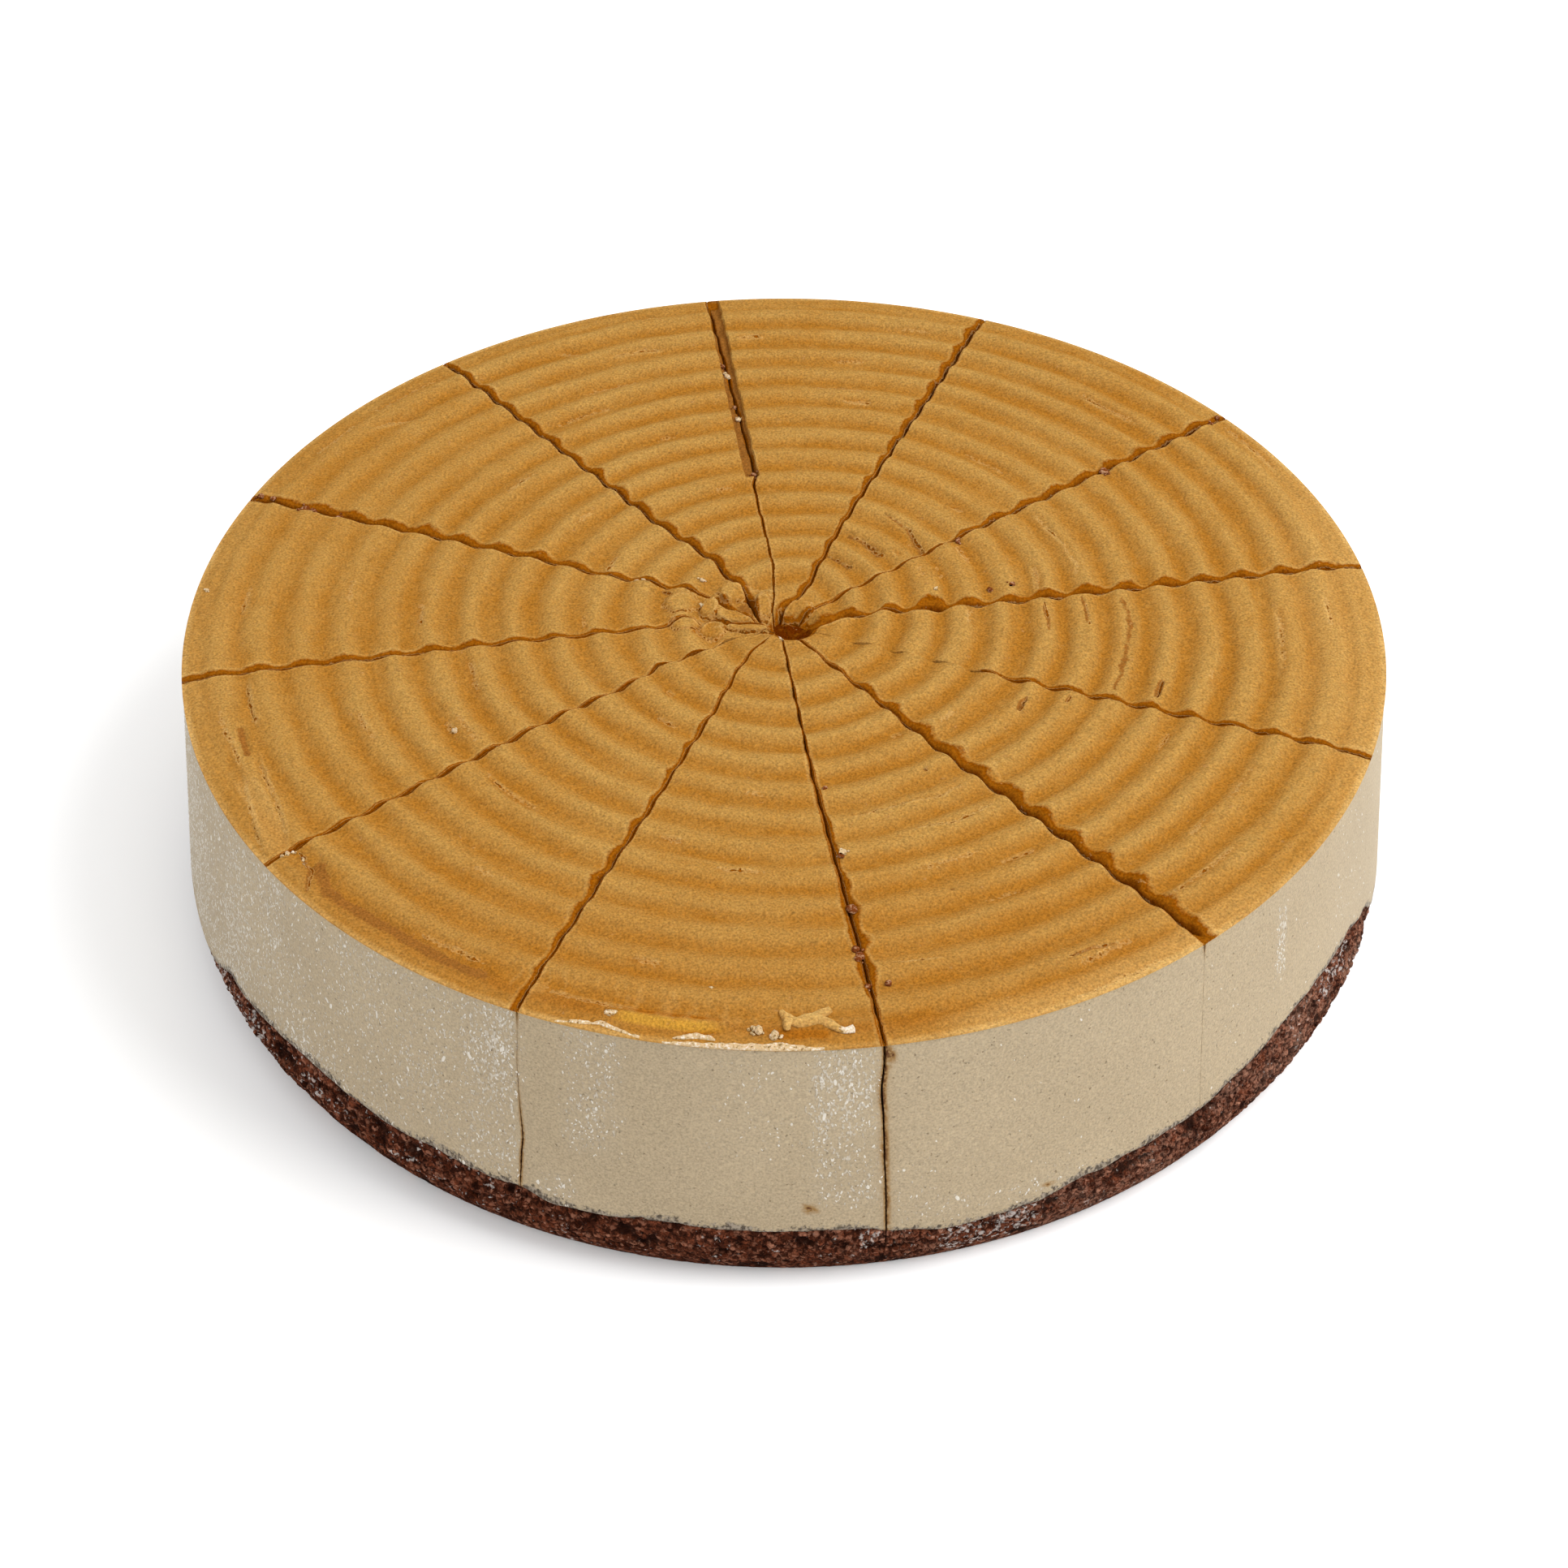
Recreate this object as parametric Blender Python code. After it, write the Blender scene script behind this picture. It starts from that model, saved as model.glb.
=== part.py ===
"""A pre-cut chestnut cream cake: twelve slices of sponge, mousse and combed chestnut cream.

Metres, +Z up. The origin is under the middle of the cake, on the surface it stands on.
"""
import math
import random

import bmesh
import bpy
from mathutils import Vector

MM = 0.001

# Heights above the table
SPONGE_TOP = 14.8 * MM
MOUSSE_TOP = 55.5 * MM          # under the cream, inside the thin edge
MOUSSE_EDGE_TOP = 57.3 * MM     # the mousse rises here, so that the cream ends thin
RIM_HEIGHT = 58.4 * MM          # the cream's outer edge
VALLEY_HEIGHT = 58.7 * MM
CREST_HEIGHT = 59.9 * MM
LAYER_GAP = 0.3 * MM            # between two layers

# Radii
RIM_RADIUS = 120.0 * MM
THIN_EDGE_RADIUS = 112.0 * MM   # from here out the cream gets thinner
SHOULDER_RADIUS = 123.9 * MM    # widest, near the top of the sponge
SHOULDER_HEIGHT = 11.7 * MM
FOOT_RADIUS = 119.3 * MM        # where the sponge meets the table
FLAT_SPONGE_RADIUS = 116.0 * MM  # inside it the sponge's top is level

# The comb's grooves: almost round, a little wide from left to right, and a little off centre
FIRST_VALLEY = 16.4 * MM
RIDGE_PITCH = 8.12 * MM
RING_STRETCH = 0.024
RING_LEAN_X = -0.011
RING_LEAN_Y = -0.018
RING_SHIFT = -1.1 * MM          # along Y
INNER_RING = 7.0 * MM           # the combed rings lie between these two radii
OUTER_RING = 116.5 * MM
RING_WANDER = (
    # how far out the rings strayed, at each slice's first cut and at its second (mm)
    (0.7, 5.5), (4.6, 8.4), (9.0, 7.4), (8.1, 4.5), (4.3, 1.3), (2.0, -1.0),
    (-1.5, -1.9), (-3.6, -1.8), (-2.6, -1.6), (0.6, -0.8), (-2.2, -1.2), (-2.5, -1.3),
)

# The cuts. Each runs straight from the cutter's centre to a knee, and straight on to the rim.
CUTTER_CENTRE = Vector((-1.0 * MM, -1.4 * MM))
HOLE_CENTRE = Vector((1.2 * MM, -2.4 * MM))
HOLE_RADIUS = 3.6 * MM          # the hole torn in the cream
TIP_RADIUS = 1.5 * MM           # where the mousse and sponge slices end
KNEE_RING = 48.88 * MM          # the nominal radius at which the cuts bend
KNEE_STEP = 2.0 * MM            # from the knee to the next row under the cream
KNEE_TOLERANCE = 0.05 * MM      # a point this near a knee is at it
CLOSED_GAP = 0.35 * MM          # between two slices of mousse or sponge
CUTS = (
    # angle at the rim, angle at the knee (degrees), gap outside and inside the knee (mm)
    (8.8, 7.4, 0.8, 1.5),
    (36.8, 37.4, 0.8, 0.4),
    (67.8, 69.0, 1.2, 0.7),
    (97.9, 97.8, 2.6, 0.6),
    (129.1, 129.1, 0.9, 0.8),
    (159.6, 158.1, 1.0, 0.7),
    (189.2, 187.4, 0.5, 0.4),
    (217.2, 214.7, 0.5, 0.4),
    (246.9, 246.2, 0.8, 0.4),
    (278.4, 276.5, 1.2, 0.6),
    (309.2, 306.3, 1.6, 0.8),
    (339.4, 337.2, 0.5, 0.4),
)

# How finely the faces are cut
CREAM_COLUMNS = 5
SPONGE_COLUMNS = 10
ROWS_PER_RIDGE = 4
MOUSSE_BANDS = 4
SPONGE_BANDS = 3
SHARP_ANGLE = math.radians(40)
ANGLE_ROUNDS = 6                # steps to find where a row meets a cut

# Uneven places
CRUMB_DEPTH = 0.9 * MM          # how far the sponge's side is eaten away
CRUMB_WAVES = (20, 45, 90)      # hollows round the cake, on top of one another
ABOVE_LINE = 2.0 * MM           # from the line between sponge and mousse to the next row of the mousse
SPONGE_LINE = (
    # how high the sponge reaches at the cake's side: angle (degrees), height (mm)
    (0, 9.5), (20, 13.0), (60, 15.0), (120, 15.0), (170, 12.0), (196, 8.0), (203, 11.0), (209, 16.6),
    (222, 18.2), (234, 16.6), (246, 15.8), (251, 13.6), (258, 14.8), (276, 14.5), (284, 11.6),
    (291, 12.6), (298, 15.2), (308, 17.0), (316, 20.3), (323, 23.0), (334, 23.2), (339, 19.5),
    (345, 12.0), (352, 9.0), (360, 9.5),
)
SEED = 12

# Colours (linear) and roughness
LAYERS = {
    "sponge": ((0.066, 0.022, 0.012), 0.9),
    "mousse": ((0.50, 0.40, 0.27), 0.55),
    "chestnut": ((0.49, 0.24, 0.05), 0.5),
}


def polar(radius, angle, centre=Vector((0.0, 0.0))):
    """The plan point at an angle (radians) round a centre."""
    return centre + radius * Vector((math.cos(angle), math.sin(angle)))


def ring_radius(ring, angle):
    """How far from the middle a groove or ridge of nominal radius ring lies at an angle."""
    lean = RING_LEAN_X * math.cos(angle) + RING_LEAN_Y * math.sin(angle)
    stretched = ring * (1 + RING_STRETCH * math.cos(2 * angle) + lean)
    return stretched + RING_SHIFT * math.sin(angle)


def wall_radius(height):
    """The side of the cake: it widens down to the shoulder, and turns in to the foot."""
    if height >= SHOULDER_HEIGHT:
        down = (RIM_HEIGHT - height) / (RIM_HEIGHT - SHOULDER_HEIGHT)
        return RIM_RADIUS + (SHOULDER_RADIUS - RIM_RADIUS) * down
    rise = math.sin(math.pi / 2 * height / SHOULDER_HEIGHT)
    return FOOT_RADIUS + (SHOULDER_RADIUS - FOOT_RADIUS) * rise


def line_height(angle):
    """How high the sponge reaches at the cake's side."""
    degrees = math.degrees(angle) % 360
    for (start, low), (end, high) in zip(SPONGE_LINE, SPONGE_LINE[1:]):
        if degrees <= end:
            share = (degrees - start) / (end - start)
            return (low + (high - low) * share * share * (3 - 2 * share)) * MM
    return SPONGE_LINE[-1][1] * MM


def wander(piece, angle):
    """How far out the comb strayed in one slice, at an angle."""
    start = math.radians(CUTS[piece][0])
    sweep = (math.radians(CUTS[(piece + 1) % len(CUTS)][0]) - start) % (2 * math.pi)
    share = ((angle - start + math.pi) % (2 * math.pi) - math.pi) / sweep
    first, last = RING_WANDER[piece]
    return (first + (last - first) * share) * MM


def comb_height(number):
    """The height of the combed cream at a fraction of a ridge."""
    middle = (CREST_HEIGHT + VALLEY_HEIGHT) / 2
    return middle - (CREST_HEIGHT - VALLEY_HEIGHT) / 2 * math.cos(2 * math.pi * number)


def knee_radius(cut):
    """How far from the middle a cut bends."""
    return ring_radius(KNEE_RING, math.radians(CUTS[cut][1]))


def open_gaps(cut):
    """How wide a cut gapes in the cream, outside and inside its knee."""
    return [gap * MM for gap in CUTS[cut][2:]]


def closed_gaps(cut):
    """The same in the mousse and the sponge."""
    return [CLOSED_GAP, CLOSED_GAP]


def point_on_cut(cut, centre, radius, side, gaps):
    """Where one wall of a cut is radius away from a centre; side is 1 past the cut, -1 before it."""
    rim_angle, knee_angle = (math.radians(value) for value in CUTS[cut][:2])
    knee = polar(knee_radius(cut), knee_angle)
    start, end, gap = CUTTER_CENTRE, knee, gaps[1]
    if centre.length == 0 and radius > knee_radius(cut) + KNEE_TOLERANCE:
        start, end, gap = knee, polar(RIM_RADIUS, rim_angle), gaps[0]
    along = (end - start).normalized()
    wall = start + side * gap / 2 * Vector((-along.y, along.x)) - centre
    back = wall.dot(along)
    reach = math.sqrt(back * back - wall.length_squared + radius * radius) - back
    return centre + wall + reach * along


def angle_on_cut(cut, turn, centre, radius_at, side, gaps):
    """The angle, round a centre, at which a row of points meets one wall of a cut."""
    angle = math.radians(CUTS[cut][0]) + turn
    for _ in range(ANGLE_ROUNDS):
        point = point_on_cut(cut, centre, radius_at(angle), side, gaps) - centre
        found = math.atan2(point.y, point.x)
        angle += (found - angle + math.pi) % (2 * math.pi) - math.pi
    return angle


def row(piece, columns, radius_at, height_at, gaps_of, centre=Vector((0.0, 0.0))):
    """A row of points across one slice, from its first cut to its second.

    radius_at gives the radius round the centre at an angle, and height_at the height.
    gaps_of gives the widths of a cut.
    """
    after = (piece + 1) % len(CUTS)
    turn = 2 * math.pi if after == 0 else 0.0
    first = angle_on_cut(piece, 0.0, centre, radius_at, 1, gaps_of(piece))
    last = angle_on_cut(after, turn, centre, radius_at, -1, gaps_of(after))
    points = []
    for column in range(columns + 1):
        angle = first + (last - first) * column / columns
        place = polar(radius_at(angle), angle, centre)
        points.append(Vector((place.x, place.y, height_at(angle))))
    return points


def circle(radius):
    """A row's radius where it is the same at every angle."""
    return lambda angle: radius


def level(height):
    """A row's height where it is the same at every angle."""
    return lambda angle: height


def add_strip(bm, upper, lower):
    """Fill between two rows, which may have different numbers of points.

    Where they have as many, the diagonals lean the same way above and below a layer gap.
    """
    tie_goes_up = upper[0].co.xy.length <= lower[0].co.xy.length
    i = j = 0
    while i < len(upper) - 1 or j < len(lower) - 1:
        next_upper = (i + 1) / (len(upper) - 1) if i < len(upper) - 1 else math.inf
        next_lower = (j + 1) / (len(lower) - 1) if j < len(lower) - 1 else math.inf
        if next_upper < next_lower or (next_upper == next_lower and tie_goes_up):
            bm.faces.new((upper[i], lower[j], upper[i + 1]))
            i += 1
        else:
            bm.faces.new((upper[i], lower[j], lower[j + 1]))
            j += 1


def add_side(bm, cut, ends):
    """Close one cut face, in parts inside and outside the knee.

    ends run over the top, down the wall and back underneath.
    """
    reach = knee_radius(cut) + KNEE_TOLERANCE
    outside = [number for number, end in enumerate(ends) if end.co.xy.length > reach]
    top, under = outside[0], outside[-1]
    bm.faces.new(ends[:top] + ends[under + 1:])
    bm.faces.new((ends[top - 1], ends[top], ends[under], ends[under + 1]))
    bm.faces.new(ends[top:under + 1])


def make_piece(name, piece, rows, height, material, parent):
    """A closed solid through rows of points, from the tip's top round to the tip's underside.

    The object stands at height, and its mesh is measured from there.
    """
    bm = bmesh.new()
    lift = Vector((0.0, 0.0, height))
    loops = [[bm.verts.new(point - lift) for point in points] for points in rows]
    for upper, lower in zip(loops, loops[1:] + loops[:1]):
        add_strip(bm, upper, lower)
    add_side(bm, piece, [loop[0] for loop in loops])
    add_side(bm, (piece + 1) % len(CUTS), [loop[-1] for loop in loops])
    bmesh.ops.recalc_face_normals(bm, faces=bm.faces)
    bmesh.ops.triangulate(bm, faces=bm.faces, ngon_method="EAR_CLIP")
    mesh = bpy.data.meshes.new(name)
    bm.to_mesh(mesh)
    bm.free()
    mesh.materials.append(material)
    mesh.shade_smooth()
    mesh.set_sharp_from_angle(angle=SHARP_ANGLE)
    obj = bpy.data.objects.new(name, mesh)
    bpy.context.scene.collection.objects.link(obj)
    obj.parent = parent
    obj.location.z = height


def chestnut_rows(piece):
    """The combed cream: ridged on top, level underneath, and thin at its outer edge."""
    middle = (CREST_HEIGHT + VALLEY_HEIGHT) / 2
    under = MOUSSE_TOP + LAYER_GAP
    edge_under = MOUSSE_EDGE_TOP + LAYER_GAP
    corners = [math.radians(CUTS[cut % len(CUTS)][0]) for cut in (piece, piece + 1)]

    def make_row(radius_at, height):
        return row(piece, CREAM_COLUMNS, radius_at, level(height), open_gaps)

    def tip_row(height):
        return row(piece, CREAM_COLUMNS, circle(HOLE_RADIUS), level(height), open_gaps, HOLE_CENTRE)

    def ring(number):
        nominal = FIRST_VALLEY + number * RIDGE_PITCH
        return lambda angle: ring_radius(nominal + wander(piece, angle), angle)

    def fits(number):
        return all(INNER_RING <= ring(number)(angle) <= OUTER_RING for angle in corners)

    steps = range(-2 * ROWS_PER_RIDGE, math.ceil(RIM_RADIUS / RIDGE_PITCH) * ROWS_PER_RIDGE)
    numbers = [step / ROWS_PER_RIDGE for step in steps if fits(step / ROWS_PER_RIDGE)]
    rows = [tip_row(middle)]
    rows += [make_row(ring(number), comb_height(number)) for number in numbers]
    rows.append(make_row(lambda angle: (ring(numbers[-1])(angle) + RIM_RADIUS) / 2, VALLEY_HEIGHT))
    rows.append(make_row(circle(RIM_RADIUS), RIM_HEIGHT))
    rows.append(make_row(circle(wall_radius(edge_under)), edge_under))
    rows.append(make_row(circle(THIN_EDGE_RADIUS), under))
    rows.append(make_row(lambda angle: ring_radius(KNEE_RING + KNEE_STEP, angle), under))
    rows.append(make_row(lambda angle: ring_radius(KNEE_RING, angle), under))
    rows.append(tip_row(under))
    return rows


def inner_rows(piece, height, columns):
    """The two rows of a level face of mousse or sponge that lie at the tip and at the knee."""
    tip = row(piece, columns, circle(TIP_RADIUS), level(height), closed_gaps, CUTTER_CENTRE)
    knee = row(piece, columns, lambda angle: ring_radius(KNEE_RING, angle), level(height), closed_gaps)
    return [tip, knee]


def side_row(piece, height_at, inset=circle(0.0)):
    """A row round the cake's side, at a height and an inset that vary with the angle."""
    def radius_at(angle):
        return wall_radius(height_at(angle)) - inset(angle)

    return row(piece, SPONGE_COLUMNS, radius_at, height_at, closed_gaps)


def mousse_rows(piece):
    """The mousse: a smooth side that widens downwards, and an uneven lower line."""
    under = SPONGE_TOP + LAYER_GAP

    def make_row(columns, radius, height):
        return row(piece, columns, circle(radius), level(height), closed_gaps)

    rows = inner_rows(piece, MOUSSE_TOP, CREAM_COLUMNS)
    rows.append(make_row(CREAM_COLUMNS, THIN_EDGE_RADIUS, MOUSSE_TOP))
    for band in range(MOUSSE_BANDS):
        height = MOUSSE_EDGE_TOP + (under - MOUSSE_EDGE_TOP) * band / MOUSSE_BANDS
        columns = CREAM_COLUMNS if band == 0 else SPONGE_COLUMNS
        rows.append(make_row(columns, wall_radius(height), height))
    rows.append(side_row(piece, lambda angle: max(line_height(angle), SHOULDER_HEIGHT) + ABOVE_LINE))
    rows.append(side_row(piece, lambda angle: line_height(angle) + LAYER_GAP))
    rows.append(make_row(SPONGE_COLUMNS, FLAT_SPONGE_RADIUS, under))
    rows += reversed(inner_rows(piece, under, SPONGE_COLUMNS))
    return rows


def sponge_rows(piece, chance):
    """The sponge: crumbly round its side, and flat underneath."""
    def eaten(angle):
        wave = sum(math.sin(count * angle + phase) for count, phase in waves)
        return CRUMB_DEPTH * (0.5 + 0.5 * wave / len(waves))

    rows = inner_rows(piece, SPONGE_TOP, SPONGE_COLUMNS)
    rows.append(row(piece, SPONGE_COLUMNS, circle(FLAT_SPONGE_RADIUS), level(SPONGE_TOP), closed_gaps))
    rows.append(side_row(piece, line_height))
    for band in range(1, SPONGE_BANDS + 1):
        waves = [(count, chance.uniform(0, 2 * math.pi)) for count in CRUMB_WAVES]
        share = 1 - band / (SPONGE_BANDS + 1)
        rows.append(side_row(piece, lambda angle: share * line_height(angle), eaten))
    rows.append(side_row(piece, level(0.0)))
    rows += reversed(inner_rows(piece, 0.0, SPONGE_COLUMNS))
    return rows


def make_material(name, colour, roughness):
    """A plain food surface."""
    material = bpy.data.materials.new(name)
    material.use_nodes = True
    shader = material.node_tree.nodes["Principled BSDF"]
    shader.inputs["Base Color"].default_value = (*colour, 1.0)
    shader.inputs["Roughness"].default_value = roughness
    shader.inputs["Metallic"].default_value = 0.0
    material.diffuse_color = (*colour, 1.0)
    return material


def main():
    for old in list(bpy.data.objects):
        bpy.data.objects.remove(old, do_unlink=True)
    chance = random.Random(SEED)
    cake = bpy.data.objects.new("cake", None)
    bpy.context.scene.collection.objects.link(cake)
    for piece in range(len(CUTS)):
        layers = {
            "sponge": (sponge_rows(piece, chance), 0.0),
            "mousse": (mousse_rows(piece), SPONGE_TOP + LAYER_GAP),
            "chestnut": (chestnut_rows(piece), MOUSSE_TOP + LAYER_GAP),
        }
        for layer, (rows, height) in layers.items():
            name = f"{layer}_{piece + 1:02d}"
            material = make_material(name, *LAYERS[layer])
            make_piece(name, piece, rows, height, material, cake)


main()
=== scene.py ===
"""The looks of a pre-cut chestnut cream cake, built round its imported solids.

Lengths are in millimetres until a mesh is made, and named angles are in degrees. +Z is up, and
the origin is under the middle of the cake, as in the solids. Slice k lies between cut k and the
next cut, anticlockwise seen from above.
"""

import math
from types import SimpleNamespace

import bmesh
import bpy
import numpy as np
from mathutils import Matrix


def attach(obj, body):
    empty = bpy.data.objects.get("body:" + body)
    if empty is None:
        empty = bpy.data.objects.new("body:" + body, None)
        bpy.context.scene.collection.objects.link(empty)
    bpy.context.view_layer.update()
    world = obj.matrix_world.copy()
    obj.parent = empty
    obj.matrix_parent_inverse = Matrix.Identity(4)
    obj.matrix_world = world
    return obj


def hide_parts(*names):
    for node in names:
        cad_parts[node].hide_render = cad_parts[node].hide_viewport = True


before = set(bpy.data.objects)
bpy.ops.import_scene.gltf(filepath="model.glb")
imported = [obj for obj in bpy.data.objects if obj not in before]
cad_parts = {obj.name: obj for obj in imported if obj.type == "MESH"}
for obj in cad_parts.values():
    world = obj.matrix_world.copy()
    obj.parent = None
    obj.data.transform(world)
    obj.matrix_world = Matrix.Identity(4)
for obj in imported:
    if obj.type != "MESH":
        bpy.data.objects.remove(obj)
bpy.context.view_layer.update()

MM = 0.001
SLICES = 12
SEED = 12                   # each kind of unevenness adds a number of its own to it
CREST, DARK, PALE, BROWN, CRACK, SLOPE, FLAKE, GOLD = range(8)      # the cream's tones

# Heights above the table
SPONGE_TOP = 14.8
MOUSSE_TOP = 55.5
CREAM_UNDER = 55.8
EDGE_TOP = 57.95            # the mousse rises to here at its outer edge
EDGE_UNDER = 58.02          # and the cream ends here
RIM_HEIGHT = 58.4
VALLEY_HEIGHT = 58.7
CREST_HEIGHT = 59.9
TALLEST = 59.87             # nothing on the cream is higher

# Radii
RIM_RADIUS = 120.0
THIN_EDGE_RADIUS = 112.0
SHOULDER_RADIUS = 123.9
SHOULDER_HEIGHT = 11.7
FOOT_RADIUS = 119.3
SKIN = 0.2                  # the side stays this far inside the solid's, which leaves room for frost

# How high the sponge reaches at the cake's side: angle, height
SPONGE_LINE = (
    (0, 9.5), (20, 13.0), (60, 15.0), (120, 15.0), (170, 12.0), (196, 8.0), (203, 11.0), (209, 16.6),
    (222, 18.2), (234, 16.6), (246, 15.8), (251, 13.6), (258, 14.8), (276, 14.5), (284, 11.6),
    (291, 12.6), (298, 15.2), (308, 17.0), (316, 20.3), (323, 23.0), (334, 23.2), (339, 19.5),
    (345, 12.0), (352, 9.0), (360, 9.5),
)

# The comb's grooves
FIRST_VALLEY = 16.4
RIDGE_PITCH = 8.12
RING_STRETCH = 0.024
RING_LEAN_X = -0.011
RING_LEAN_Y = -0.018
RING_SHIFT = -1.1
RIDGE_STRENGTH = 0.78       # the ridges' mean height, as a share of the full one
RING_WANDER = (             # how far out the rings strayed, at each slice's first cut and its second
    (0.7, 5.5), (4.6, 8.4), (9.0, 7.4), (8.1, 4.5), (4.3, 1.3), (2.0, -1.0),
    (-1.5, -1.9), (-3.6, -1.8), (-2.6, -1.6), (0.6, -0.8), (-2.2, -1.2), (-2.5, -1.3),
)
CREST_FLATNESS = 0.05       # how much broader the crests are than the grooves
COMBED_FROM = (7.5, 14.0)   # the combing sets in between these two radii
FLAT_BAND = (114.0, 117.0)  # and fades out between these
WORN_LEFT = (60, 100)       # the ridges get lower between these distances to the left
STREAK_SIZE = (9.0, 1.3)    # the comb's fine streaks: along the rings and across them
# The cream's fine relief: depth, size, noise stream, octaves, and layer step from slice to slice
FINE_RELIEF = ((0.10, 6.0, 3, 3, 5.3), (0.11, 2.2, 4, 2, 2.9))

# Round the hole, in degrees: where the torn lumps and the slope set in, are full, fade and end
TORN_SECTOR = (10, 50, 190, 225)
SLOPE_SECTOR = (15, 45, 140, 175)
TORN_REACH = (22, 13)       # the cream starts to sink, and has sunk, this far from the hole's middle
SLOPE_DROP = 2.2            # how far it slopes down into the hole behind it
HOLE_WALL = (7.5, 5.5)      # walls nearer to the hole's middle are painted dark: painted shade

# The same along the edge: an orange band, a smooth golden strip, the tool's streaks, a yellower rim
ORANGE_BAND = (214, 228, 280, 290)
GOLD_STRIP = (254.5, 256.5, 262.5, 265.5)
TOOL_STREAKS = (232, 246, 272, 277)
YELLOW_RIM = (280, 290, 308, 326)
BAND_IN = 4.2               # how far in from the edge the band and the strip lie
STRIP_IN = 4.4

# The cuts
CUTTER_CENTRE = np.array((-1.0, -1.4))
HOLE_CENTRE = np.array((1.2, -2.4))
HOLE_OUTLINE = (            # angle, radius
    (0, 5.2), (40, 4.2), (80, 4.2), (120, 4.6), (160, 4.8), (200, 3.3), (245, 3.4), (270, 3.3),
    (310, 3.9), (360, 5.2),
)
TIP_RADIUS = 1.5
KNEE_RING = 48.88
CUT_ANGLES = (              # at the rim and at the knee
    (8.8, 7.4), (36.8, 37.4), (67.8, 69.0), (97.9, 97.8), (129.1, 129.1), (159.6, 158.1),
    (189.2, 187.4), (217.2, 214.7), (246.9, 246.2), (278.4, 276.5), (309.2, 306.3), (339.4, 337.2),
)
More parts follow.
